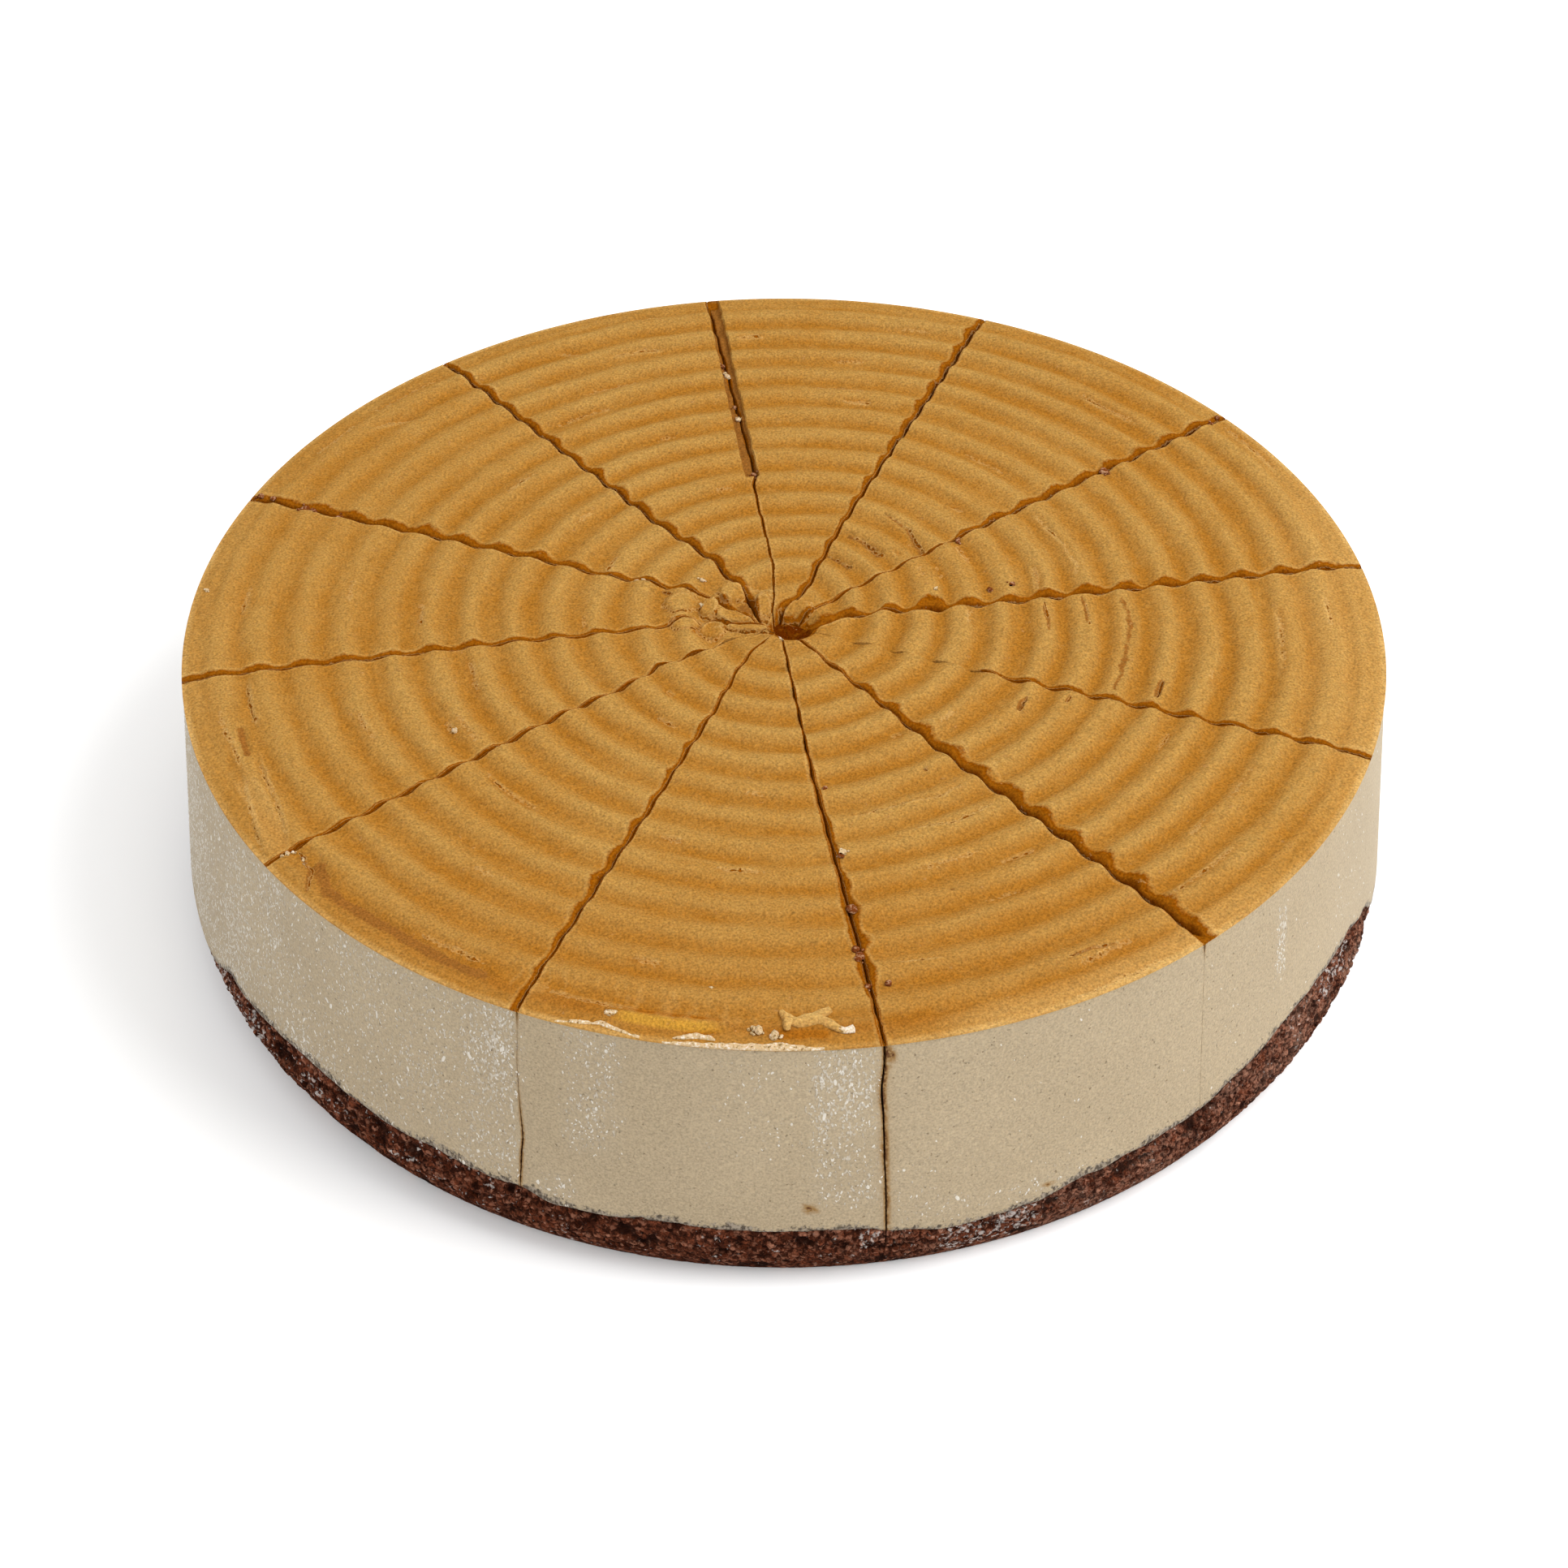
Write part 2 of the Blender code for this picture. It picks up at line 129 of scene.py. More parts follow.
# How each cut looks on the way out: radius, how far the cut lies aside of its line, its width, and
# how wide its edge is rounded in the slice before it and in the slice after it
CUT_LOOKS = (
    ((5, -2.2, 0.8, 0.3, 3.6), (9, -1.0, 0.7, 0.3, 3.4), (13, 0.5, 0.5, 0.3, 2.4),
     (18, 0.5, 0.3, 0.2, 1.5), (21, 1.3, 0.3, 0.2, 1.2), (25, 0.3, 0.4, 0.2, 1.6),
     (27, 0, 0.6, 0.2, 2.4), (31, 0, 0.8, 0.2, 3.8), (35, 0, 0.4, 0.2, 1.8), (39, 0, 0.5, 0.2, 2.8),
     (44, 0, 0.4, 0.2, 1.8), (60, 0, 0.45, 0.2, 2.2), (90, 0, 0.4, 0.2, 2.0), (120, 0, 0.4, 0.2, 1.5)),
    ((4, 0.2, 0.1, 0.1, 1.2), (14, 0.3, 0.1, 0.1, 0.8), (22, 0, 0.1, 0.1, 0.3),
     (42, 0, 0.1, 0.1, 0.3), (47, 0, 0.3, 0.2, 1.1), (70, 0, 0.45, 0.2, 1.8), (95, 0, 0.5, 0.2, 2.0),
     (110, 0, 0.7, 0.3, 2.1), (120, 0, 0.5, 0.2, 1.4)),
    ((4, 1.2, 0.12, 0.3, 2.8), (7, 0.3, 0.12, 0.3, 2.6), (10, -0.5, 0.12, 0.3, 1.3),
     (14, -0.7, 0.2, 0.2, 1.2), (21, -0.4, 0.2, 0.2, 1.1), (32, 0, 0.2, 0.2, 0.9),
     (60, 0, 0.4, 0.3, 1.5), (120, 0, 0.7, 0.4, 1.6)),
    ((5, 0.7, 0.085, 0.3, 0.2), (9, -0.1, 0.085, 0.3, 0.2), (18, -0.9, 0.09, 0.3, 0.2),
     (30, -0.5, 0.1, 0.3, 0.2), (40, 0, 0.12, 0.3, 0.2), (47, 0, 0.3, 0.4, 0.3),
     (50, -1.0, 0.5, 0.3, 0.3), (84, 0, 0.6, 0.3, 0.3), (120, 1.0, 0.5, 0.3, 0.3)),
    ((5, 1.6, 0.3, 0.5, 0.3), (9, -0.1, 0.4, 1.8, 0.3), (14, -1.5, 0.3, 2.2, 0.3),
     (18, -0.8, 0.3, 1.7, 0.3), (24, -1.9, 0.3, 2.0, 0.3), (32, -1.2, 0.35, 2.0, 0.3),
     (42, 0, 0.4, 1.8, 0.3), (120, 0, 0.55, 1.6, 0.3)),
    ((5, 0.4, 0.12, 0.6, 0.2), (8, 0.0, 0.12, 1.6, 0.2), (11, -1.2, 0.12, 2.8, 0.2),
     (14, -1.2, 0.14, 2.2, 0.2), (16, -2.6, 0.12, 0.6, 0.3), (20, -2.8, 0.12, 0.8, 0.3),
     (23, -2.8, 0.16, 1.2, 0.3), (26, -1.8, 0.16, 1.4, 0.2), (30, -1.9, 0.2, 1.4, 0.2),
     (40, 0, 0.25, 1.6, 0.2), (90, 0, 0.4, 2.4, 0.3), (120, 0, 0.5, 2.1, 0.3)),
    ((3, 0.3, 0.2, 0.5, 0.2), (6, -0.4, 0.14, 0.7, 0.4), (11, -0.9, 0.12, 0.8, 0.3),
     (14, -3.1, 0.12, 0.7, 0.3), (15.5, -2.8, 0.12, 0.5, 0.3), (16.6, -1.2, 0.2, 0.5, 0.3),
     (18, -3.0, 0.12, 0.5, 0.3), (20, -3.7, 0.12, 1.0, 0.3), (22.5, -2.4, 0.14, 1.2, 0.3),
     (26, -1.2, 0.14, 1.1, 0.2), (36, -0.6, 0.16, 1.1, 0.2), (46, 0, 0.18, 1.3, 0.2),
     (120, 0, 0.25, 1.9, 0.2)),
    ((3, 0.4, 0.05, 0.2, 0.2), (13, -2.7, 0.07, 0.2, 0.2), (17, -1.0, 0.1, 0.3, 0.2),
     (22, -2.0, 0.1, 0.4, 0.2), (25, -1.1, 0.1, 0.4, 0.2), (29, -2.4, 0.1, 0.5, 0.2),
     (32, -1.0, 0.1, 0.5, 0.2), (42, 0, 0.12, 0.6, 0.2), (120, 0, 0.2, 0.9, 0.2)),
    ((4, 0, 0.05, 0.2, 0.2), (8, -0.5, 0.1, 0.3, 0.2), (13, -1.6, 0.12, 0.6, 0.2),
     (20, -1.4, 0.1, 0.7, 0.2), (32, -0.6, 0.13, 0.9, 0.2), (60, 0, 0.14, 1.4, 0.2),
     (90, 0, 0.14, 1.6, 0.2), (120, 0, 0.14, 1.4, 0.3)),
    ((4, 0, 0.1, 0.3, 0.2), (40, 0, 0.16, 0.4, 0.4), (60, 0, 0.18, 0.7, 1.0), (80, 0, 0.18, 1.0, 1.6),
     (94, 0, 0.18, 1.3, 1.8), (102, 0, 0.18, 1.2, 1.5), (109, 0, 0.16, 1.0, 0.8),
     (120, 0, 0.16, 0.7, 0.5)),
    ((4, 0.1, 0.1, 0.3, 0.5), (20, 0, 0.12, 0.2, 0.9), (30, 0, 0.25, 0.2, 1.9),
     (50, 0, 0.45, 0.2, 3.0), (90, 0, 0.6, 0.3, 3.4), (120, 0, 0.8, 0.4, 3.5)),
    ((4, 0, 0.05, 0.05, 0.1), (41, 0, 0.05, 0.05, 0.1), (47, 0, 0.2, 0.1, 1.0),
     (80, 0, 0.25, 0.1, 1.5), (120, 0, 0.35, 0.2, 1.6)),
)
CLOSED_HALF = 0.04          # half a cut's width at its foot
RAGGED_WIDTH = 0.5          # narrower cuts have straighter walls
CLOSING_DEPTH = 1.6         # a cut narrows down to this depth
SEAM_WIDTHS = (0.06, 0.1, 0.25, 0.5)    # a cut about this narrow shows as a thin dark line of painted shade
HIDDEN_GAP = 0.05           # a narrower cut has pale walls, with no painted shade
SEAM_REACH = 0.48           # and the line is half as wide as this on either side
HOLE_NARROWING = ((0, 0), (0.6, 0.35), (1.0, 0.96))     # share of the way down, how far the hole closes
# Lumps torn loose round the hole: place in plan, half length and half width, turn, and rise
TORN_LUMPS = (
    (-10.6, 9.2, 3.0, 2.4, 20, 0.9), (-15.1, 4.2, 3.2, 1.8, 85, 1.1), (-9.9, 1.6, 3.9, 2.0, -5, 1.0),
    (-14.3, -2.6, 3.0, 2.2, 70, 0.9), (-6.7, -2.0, 5.0, 1.3, -5, 1.1), (-4.3, 5.4, 4.0, 1.6, 88, 1.0),
    (2.6, 4.6, 3.2, 2.2, 20, 0.8), (-20.5, 5.5, 3.6, 2.8, 30, 0.7), (-20.0, -1.0, 3.0, 2.0, 10, 0.6),
)
TORN_DROP = 0.9             # how far the cream between them has sunk
EDGE_DROP = 0.75            # how deep a rounded edge falls, as a share of its width

# The scraped strip beside the cut at the back, on whichever side of it the cream is missing
SCRAPED_CUT = 3
SCRAPED_FROM = 49.0
SCRAPED_HALF_WIDTH = 1.35
SCRAPED_DEPTH = 1.2

# Marks in the cream: kind, where each runs, how wide and how deep it is, and how strong its tone.
# A "step" is steep on its right, where the cream stands higher, with painted shade where it drops and a
# painted highlight on its lip; a "crack" is a dark line of painted shade; a "low" place is flat and
# brownish;
# a "shade" is a soft painted shadow; a "high" one is a pale flake that stands up. A "stroke" is a brown
# groove that widens towards its end, with a dark line of painted shade in it, and a "sheet" is paler cream
# that lies on top.
MARKS = (
    ("step", ((-39.1, 95.1), (-32.8, 97.2), (-26.0, 98.8)), 1.7, 0.7, 0.6),
    ("step", ((-50.0, 96.8), (-45.1, 96.3)), 1.5, 0.5, 0.5),
    ("step", ((-34.8, 109.6), (-28.5, 110.9)), 0.9, 0.5, 0.6),
    ("step", ((-89.8, 67.3), (-85.0, 69.9), (-79.5, 71.2)), 1.9, 0.8, 0.6),
    ("stroke", ((21.0, 35.9), (25.6, 30.4), (28.7, 22.0)), 1.1, 0.6, 0.6),
    ("stroke", ((12.6, 29.1), (16.1, 26.7), (19.8, 21.4)), 1.1, 0.6, 0.7),
    ("stroke", ((8.8, 22.0), (11.0, 20.3), (13.3, 17.8)), 0.9, 0.6, 0.7),
    ("crack", ((52.7, 5.1), (52.8, 1.0), (53.1, -4.1)), 0.8, 0.35, 0.6),
    ("crack", ((60.1, 7.1), (60.7, 3.0), (61.0, -1.6)), 0.8, 0.35, 0.6),
    ("low", ((68.4, 6.4), (69.4, 2.0), (69.3, -3.1), (67.6, -12.0), (66.0, -18.8), (64.6, -22.0)),
     1.1, 0.3, 0.2),
    ("crack", ((74.5, -19.3), (73.2, -22.6), (72.6, -25.1)), 0.9, 1.0, 1.0),
    ("crack", ((47.6, -24.6), (46.3, -26.5), (45.4, -28.9)), 0.9, 1.0, 1.0),
    ("crack", ((56.1, -24.1), (55.0, -27.0)), 0.7, 0.5, 0.7),
    ("step", ((51.4, 36.9), (54.8, 30.4), (57.8, 25.0), (59.9, 18.6), (60.1, 11.8)), 0.8, 0.25, 0.3),
    ("crack", ((50.5, -98.2), (55.6, -95.4), (60.0, -94.1)), 0.6, 0.5, 0.8),
    ("step", ((49.4, -108.5), (55.0, -105.6), (60.3, -102.4), (65.5, -99.0), (69.7, -95.9)),
     0.7, 0.2, 0.5),
    ("step", ((9.9, -60.5), (15.2, -59.4), (22.1, -56.4), (29.5, -54.2), (35.5, -49.4)),
     0.8, 0.4, 0.5),
    ("step", ((21.9, -63.7), (31.6, -61.6), (40.6, -55.7)), 0.7, 0.3, 0.4),
    ("crack", ((30.4, -79.3), (30.9, -80.4)), 0.8, 0.8, 0.8),
    ("crack", ((26.6, -46.0), (27.0, -46.8)), 0.9, 0.7, 0.7),
    ("step", ((19.1, -99.1), (30.2, -97.8)), 0.6, 0.25, 0.3),
    ("low", ((-104.9, -34.0), (-103.9, -38.0), (-102.6, -41.8)), 0.9, 0.5, 0.5),
    ("sheet", ((-103.5, -47.5), (-99.4, -54.7), (-94.9, -64.8), (-93.1, -71.0)), 2.4, 0.25, 0.22),
    ("step", ((-92.0, -68.7), (-94.1, -59.7), (-98.0, -49.8), (-100.9, -41.3)), 1.1, 0.45, 0.4),
    ("step", ((-96.2, -71.1), (-97.6, -66.2), (-103.1, -48.1)), 0.9, 0.3, 0.3),
    ("crack", ((-89.7, -69.5), (-87.0, -74.2), (-87.2, -80.5)), 1.0, 0.4, 0.5),
    ("low", ((-85.8, -73.4), (-83.3, -80.1), (-78.8, -84.0), (-70.1, -90.6), (-61.1, -97.7),
             (-53.5, -101.8)), 1.7, 0.3, 0.5),
    ("high", ((-88.9, -71.0), (-88.0, -73.2)), 0.7, 0.25, 0.3),
    ("step", ((-101.4, -34.7), (-104.1, -26.3), (-105.6, -19.1)), 1.0, 0.4, 0.4),
    # round the hole
    ("crack", ((-7.5, 8.3), (-6.8, 7.0), (-6.5, 5.8)), 1.5, 0.9, 1.0),
    ("crack", ((-24.9, 9.9), (-22.8, 8.2)), 0.8, 0.4, 0.7),
    ("low", ((-8.2, 5.4), (-7.0, 3.6)), 1.7, 0.3, 0.5),
    # A painted shadow in place of a small pit.
    ("shade", ((-18.0, -3.3), (-17.0, -3.9)), 1.6, 0.0, 1.0),
    ("step", ((-8.7, 12.9), (-5.2, 11.6), (-1.9, 11.4)), 1.6, 0.5, 0.2),
    ("high", ((-1.3, -4.1), (-0.5, -5.3), (-0.3, -6.7)), 0.4, 0.15, 0.8),
    ("high", ((-16.9, 5.2), (-16.6, 4.2)), 0.45, 0.15, 0.6),
    ("high", ((4.6, 1.0), (5.6, -0.2)), 0.25, 0.1, 0.3),
    # at the front edge
    # Painted shadows below a crust flake and below the curl.
    ("shade", ((-17.6, -116.2), (-14.2, -116.5), (-11.4, -116.0)), 0.7, 0.0, 0.8),
    ("shade", ((-2.2, -116.5), (3.0, -117.0), (8.5, -116.6)), 1.5, 0.0, 0.7),
    ("high", ((-30.9, -111.8), (-29.6, -111.9)), 0.6, 0.3, 0.9),
    ("high", ((-12.6, -105.2), (-13.6, -105.3)), 0.5, 0.25, 0.8),
)

# Short tears along the rings, drawn at random: between which grooves, and how many degrees long
TEARS_PER_SLICE = 5
TEAR_RINGS = (0.6, 12.4)
TEAR_SWEEPS = (4, 13)
TEAR_DEPTH = 0.2

# The pale torn crust on the front edge: angle, and how far in from the edge it starts and ends
RIM_CRUST = (
    ((250.4, 0.0, 0.3), (252.3, 0.6, 1.3), (254.2, 1.3, 2.2), (256.4, 0.6, 1.3), (257.9, 0.0, 0.4)),
    ((259.8, 0.0, 0.2), (261.2, 0.0, 0.7), (264.0, 0.0, 0.9), (266.0, 0.0, 1.1), (268.0, 0.0, 1.3),
     (270.5, 0.0, 1.2), (272.0, 0.0, 0.7), (273.4, 0.0, 0.2)),
    ((260.6, 1.0, 1.3), (261.4, 1.1, 2.1), (262.6, 1.5, 2.7), (263.6, 1.4, 2.4), (264.3, 1.3, 1.6)),
)
# The curl of paler cream near it, as bent lines in plan, and their half widths
CURL = (
    (((-0.6, -111.0), (0.4, -112.7), (2.3, -114.0), (5.0, -113.3), (7.2, -113.9), (10.2, -115.9),
      (12.4, -115.5)), (0.4, 0.9, 1.2, 1.5, 1.1, 0.7, 0.9)),
    (((4.4, -113.4), (6.4, -112.0), (8.3, -110.6)), (1.2, 1.1, 0.7)),
    (((0.9, -113.2), (0.5, -114.8), (0.6, -116.2)), (1.0, 0.8, 0.5)),
)
CURL_RISE = 0.25            # how far its middle lies above the cream
CURL_HALF_HEIGHT = 0.6
CURL_SIDES = 14
CURL_STEP = 0.22            # between the points along it
CURL_TIP = 0.12             # half its width at its ends
CURL_WHITE = (8.5, 11.0)    # it turns white between these two x

BIT_SCALE = 1.1             # the loose bits' true size, as a share of the size stated for each
# Loose bits on the cream: where each lies in plan, and how big it is
BROWN_CRUMBS = (
    (68.0, 51.2, 0.9), (36.0, 26.7, 0.7), (41.9, 10.2, 0.6), (46.4, 11.0, 0.8), (-100.5, 38.1, 1.1),
    (-98.7, 37.6, 0.8), (12.4, -85.2, 1.0), (10.5, -71.1, 0.6), (13.6, -96.8, 0.9), (12.9, -95.4, 0.8),
    (13.2, -98.4, 0.7), (14.8, -105.1, 0.7), (18.5, -104.1, 0.6), (-13.7, 92.9, 0.6),
    (-10.8, 77.1, 0.6), (7.7, -51.9, 0.5), (-6.4, 51.2, 0.7), (92.6, 69.5, 0.9), (94.2, 71.6, 0.7),
    (-107.5, 41.5, 0.8), (-110.2, 42.6, 0.7), (-93.0, 35.7, 0.6),
)
PALE_BITS = (
    (30.8, 9.6, 0.5), (-91.8, -69.9, 0.45), (-90.9, -69.5, 0.4), (-92.8, -70.5, 0.3),
    (-63.6, -34.7, 0.6), (-117.3, 10.2, 0.5), (-30.0, 13.2, 0.7), (-28.6, 13.0, 0.5),
    (-16.7, 12.9, 0.6), (-4.4, -116.0, 0.9), (-5.3, -115.6, 0.6), (-1.7, -117.2, 0.9),
    (10.9, -70.3, 0.7), (-12.6, 88.0, 0.7), (-9.9, 71.3, 0.6), (-13.0, 89.0, 0.5),
)

# The slices as meshes
ROWS = 224
KNEE_ROW = 87
COLUMNS = 90
COLUMN_CROWDING = 0.6       # columns stand closer together beside the cuts
WALL_LEVELS = (0.08, 0.2, 0.38, 0.6, 1.0)
MOUSSE_COLUMNS = 60
MOUSSE_LEVELS = 30
SPONGE_COLUMNS = 180
SPONGE_LEVELS = 34
SHARP_ANGLE = math.radians(55)


# ---------------------------------------------------------------- noise and plan geometry

def lattice(x, y, z, seed):
    """A repeatable random number, 0 to 1, for each whole-numbered point."""
    mixed = x * 374761393 + y * 668265263 + z * 1440662683 + seed * 974634777
    mixed = (mixed ^ (mixed >> 13)) * 1274126177
    return ((mixed ^ (mixed >> 16)) & 0xFFFF) / 0xFFFF


def value_noise(x, y, z, seed):
    """Smooth noise, 0 to 1, that changes over a distance of about 1."""
    x, y, z = np.broadcast_arrays(x, y, z)
    cells = [np.floor(value).astype(np.int64) for value in (x, y, z)]
    parts = [value - cell for value, cell in zip((x, y, z), cells)]
    fades = [part * part * (3 - 2 * part) for part in parts]
    total = 0
    for corner in range(8):
        steps = (corner & 1, corner >> 1 & 1, corner >> 2)
        weight = 1
        for step, fade in zip(steps, fades):
            weight = weight * (fade if step else 1 - fade)
        total = total + weight * lattice(*(cell + step for cell, step in zip(cells, steps)), seed)
    return total


def rough(x, y, z, size, seed, octaves=2):
    """Layered noise, about -1 to 1, whose largest lumps are size across."""
    total, reach = 0, 0
    for octave in range(octaves):
        scale = 2 ** octave / size
        total = total + (value_noise(x * scale, y * scale, z * scale, seed + octave) - 0.5) / 2 ** octave
        reach += 0.5 / 2 ** octave
    return total / reach


def cells(x, y, size, seed):
    """Scattered points about size apart: how much further off the next one is than the nearest, and
    the nearest one's own number."""
    x, y = x / size, y / size
    column, line = np.floor(x).astype(np.int64), np.floor(y).astype(np.int64)
    nearest = np.full(x.shape, np.inf)
    second = np.full(x.shape, np.inf)
    number = np.zeros(x.shape)
    for right in (-1, 0, 1):
        for up in (-1, 0, 1):
            spot_x, spot_y = column + right, line + up
            gap_x = x - spot_x - lattice(spot_x, spot_y, 0, seed)
            gap_y = y - spot_y - lattice(spot_x, spot_y, 1, seed)
            distance = np.hypot(gap_x, gap_y)
            closer = distance < nearest
            second = np.where(closer, nearest, np.minimum(second, distance))
            number = np.where(closer, lattice(spot_x, spot_y, 2, seed), number)
            nearest = np.minimum(nearest, distance)
    return second - nearest, number


def window(value, start, full, fade, end):
    """0 outside start to end, 1 between full and fade, and soft steps between."""
    return smooth(start, full, value) * smooth(end, fade, value)


def bell(distance, width):
    """1 where the distance is 0, and falling off over about a width."""
    return np.exp(-(distance / width) ** 2)


def smooth(start, end, value):
    """0 before start, 1 after end, and a soft step between."""
    part = np.clip((value - start) / (end - start), 0, 1)
    return part * part * (3 - 2 * part)


def unit(vector):
    return vector / np.linalg.norm(vector)


def polar(radius, angle):
    return np.stack((radius * np.cos(angle), radius * np.sin(angle)), axis=-1)


def turned(degrees, middle):
    """How far an angle lies from a middle angle, -180 to 180."""
    return (degrees - middle + 180) % 360 - 180


def table_at(table, value):
    """The second column of a table where its first is value, with straight lines between its rows."""
    places, values = np.array(table).T
    return np.interp(value, places, values)


def ring_radius(ring, angle):
    """How far from the middle a groove or ridge of nominal radius ring lies at an angle."""
    lean = RING_LEAN_X * np.cos(angle) + RING_LEAN_Y * np.sin(angle)
    return ring * (1 + RING_STRETCH * np.cos(2 * angle) + lean) + RING_SHIFT * np.sin(angle)


def nominal_ring(radius, angle):
    """The nominal radius of the ring through a point."""
    lean = RING_LEAN_X * np.cos(angle) + RING_LEAN_Y * np.sin(angle)
    return (radius - RING_SHIFT * np.sin(angle)) / (1 + RING_STRETCH * np.cos(2 * angle) + lean)


def cuts_of(piece):
    """The cut before a slice, and the one after it."""
    return piece, (piece + 1) % SLICES


def slice_sweep(piece):
    """A slice's first angle at the rim, and how wide it is."""
    before, after = cuts_of(piece)
    start = CUT_ANGLES[before][0]
    return start, (CUT_ANGLES[after][0] - start) % 360


def wander(piece, angle):
    """How far out the comb strayed in one slice, at an angle."""
    start, sweep = slice_sweep(piece)
    share = np.clip(turned(np.degrees(angle), start) / sweep, -0.3, 1.3)
    first, last = RING_WANDER[piece]
    return first + (last - first) * share


def wall_radius(height):
    """The side of the cake: it widens down to the shoulder, and turns in to the foot."""
    down = (RIM_HEIGHT - height) / (RIM_HEIGHT - SHOULDER_HEIGHT)
    upper = RIM_RADIUS + (SHOULDER_RADIUS - RIM_RADIUS) * down
    rise = np.sin(np.pi / 2 * np.clip(height / SHOULDER_HEIGHT, 0, 1))
    lower = FOOT_RADIUS + (SHOULDER_RADIUS - FOOT_RADIUS) * rise
    return np.where(height >= SHOULDER_HEIGHT, upper, lower)


def line_height(angle):
    """How high the sponge reaches at the cake's side."""
    degrees = np.degrees(angle) % 360
    stations = np.array(SPONGE_LINE)
    place = np.clip(np.searchsorted(stations[:, 0], degrees, side="right"), 1, len(stations) - 1)
    before, after = stations[place - 1], stations[place]
    share = smooth(0, 1, (degrees - before[..., 0]) / (after[..., 0] - before[..., 0]))
    return before[..., 1] + (after[..., 1] - before[..., 1]) * share


def ragged_line(angle):
    """The same line with its crumbs."""
    return line_height(angle) + 0.7 * rough(angle * RIM_RADIUS, 0, 0, 4.5, SEED + 19, 3)


def cut_looks(cut, radius):
    """Offset, width, and rounding before and after a cut, at each radius."""
    stations = np.array(CUT_LOOKS[cut])
    return [np.interp(radius, stations[:, 0], stations[:, column]) for column in range(1, 5)]


def sharp_side(cut, radius):
    """The side of a cut that stays upright: 1 is past it, -1 before it. The other side slopes."""
    before, after = cut_looks(cut, radius)[2:]
    return np.where(after > before, -1, 1)


def cut_line(cut):
    """The middle of a cut, from the hole by way of the knee to the rim, and its normals."""
    rim_angle, knee_angle = np.radians(CUT_ANGLES[cut])
    knee = polar(ring_radius(KNEE_RING, knee_angle), knee_angle)
    rim = polar(RIM_RADIUS, rim_angle)
    inner, outer = unit(knee - CUTTER_CENTRE), unit(rim - knee)
    away = CUTTER_CENTRE - HOLE_CENTRE
    hole = table_at(HOLE_OUTLINE, np.degrees(math.atan2(inner[1], inner[0])) % 360)
    reach = math.sqrt((away @ inner) ** 2 - away @ away + hole ** 2) - away @ inner
    tip = CUTTER_CENTRE + inner * reach
    inside = tip + (knee - tip) * np.linspace(0, 1, KNEE_ROW + 1)[:, None]
    outside = knee + (rim - knee) * np.linspace(0, 1, ROWS - KNEE_ROW + 1)[1:, None]
    line = np.concatenate((inside, outside))
    directions = np.where(np.arange(ROWS + 1)[:, None] <= KNEE_ROW, inner, outer)
    return line, np.stack((-directions[:, 1], directions[:, 0]), axis=-1)


def cut_wall(cut, side, closing=0.0):
    """One wall of a cut, a point for each row; side is 1 past the cut and -1 before it.

    closing runs from 0 at the top to 1 at the cut's foot, where the sloping wall has come right
    across to the upright one.
    """
    line, normals = cut_line(cut)
    radius = np.hypot(*line.T)
    offset, width = cut_looks(cut, radius)[:2]
    ragged = 0.10 * rough(radius, cut, side, 4.0, SEED + 31, 3)
    ragged += 0.10 * rough(radius, cut, side, 1.4, SEED + 35)
    ragged *= np.minimum(1, width / RAGGED_WIDTH)
    half = np.maximum(width / 2 + ragged, CLOSED_HALF)
    foot = sharp_side(cut, radius) * (width / 2 - CLOSED_HALF)
    distance = offset + foot * closing + side * (half * (1 - closing) + CLOSED_HALF * closing)
    points = line + normals * distance[:, None]
    points[-1] = unit(points[-1]) * RIM_RADIUS
    return points


# ---------------------------------------------------------------- meshes

def add_object(name, points, faces, material, tones=None):
    """A mesh object from points in mm; tones are the four or eight values that its material reads."""
    mesh = bpy.data.meshes.new(name)
    mesh.from_pydata((np.asarray(points) * MM).tolist(), [], faces)
    for number, layer_name in enumerate(("tone", "torn")):
        if tones is not None and tones.shape[1] > 4 * number:
            layer = mesh.color_attributes.new(layer_name, "FLOAT_COLOR", "POINT")
            values = np.clip(tones[:, 4 * number:4 * number + 4], 0, 1).astype(np.float32)
            layer.data.foreach_set("color", values.ravel())
    mesh.materials.append(material)
    mesh.shade_smooth()
    mesh.set_sharp_from_angle(angle=SHARP_ANGLE)
    obj = bpy.data.objects.new(name, mesh)
    bpy.context.scene.collection.objects.link(obj)
    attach(obj, "root")
    return obj


def slice_object(kind, node, piece, points, faces, material, tones):
    """A slice's piece, in place of the solid of its layer."""
    number = f"{piece + 1:02d}"
    obj = add_object(f"{kind}_slice_{number}", points, faces, material, tones)
    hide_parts(f"{node}_{number}")


def grid_faces(index):
    """Quads between neighbouring rows and columns of a grid of point numbers."""
    quads = np.stack((index[:-1, :-1], index[1:, :-1], index[1:, 1:], index[:-1, 1:]), axis=-1)
    return quads.reshape(-1, 4).tolist()


def skirt_faces(levels):
    """Quads down from a closed outline; levels holds one row of point numbers for each level."""
    return grid_faces(np.concatenate((levels, levels[:, :1]), axis=1))


def cap_faces(loop, side_count, rim_count, upward):
    """Close a slice's outline: strips across from cut to cut, and a sector at the rim.

    loop runs out along the first cut, round the rim, and back along the second cut. What is left
    of it runs round the tip.
    """
    first = loop[:side_count]
    rim = loop[side_count:side_count + rim_count]
    second = loop[side_count + rim_count:2 * side_count + rim_count][::-1]
    tip = loop[2 * side_count + rim_count:]
    faces = [[first[0], first[1], second[1], second[0], *tip]]
    faces += [[first[i], first[i + 1], second[i + 1], second[i]] for i in range(1, side_count - 1)]
    faces.append([first[-1], *rim, second[-1]])
    return faces if upward else [face[::-1] for face in faces]


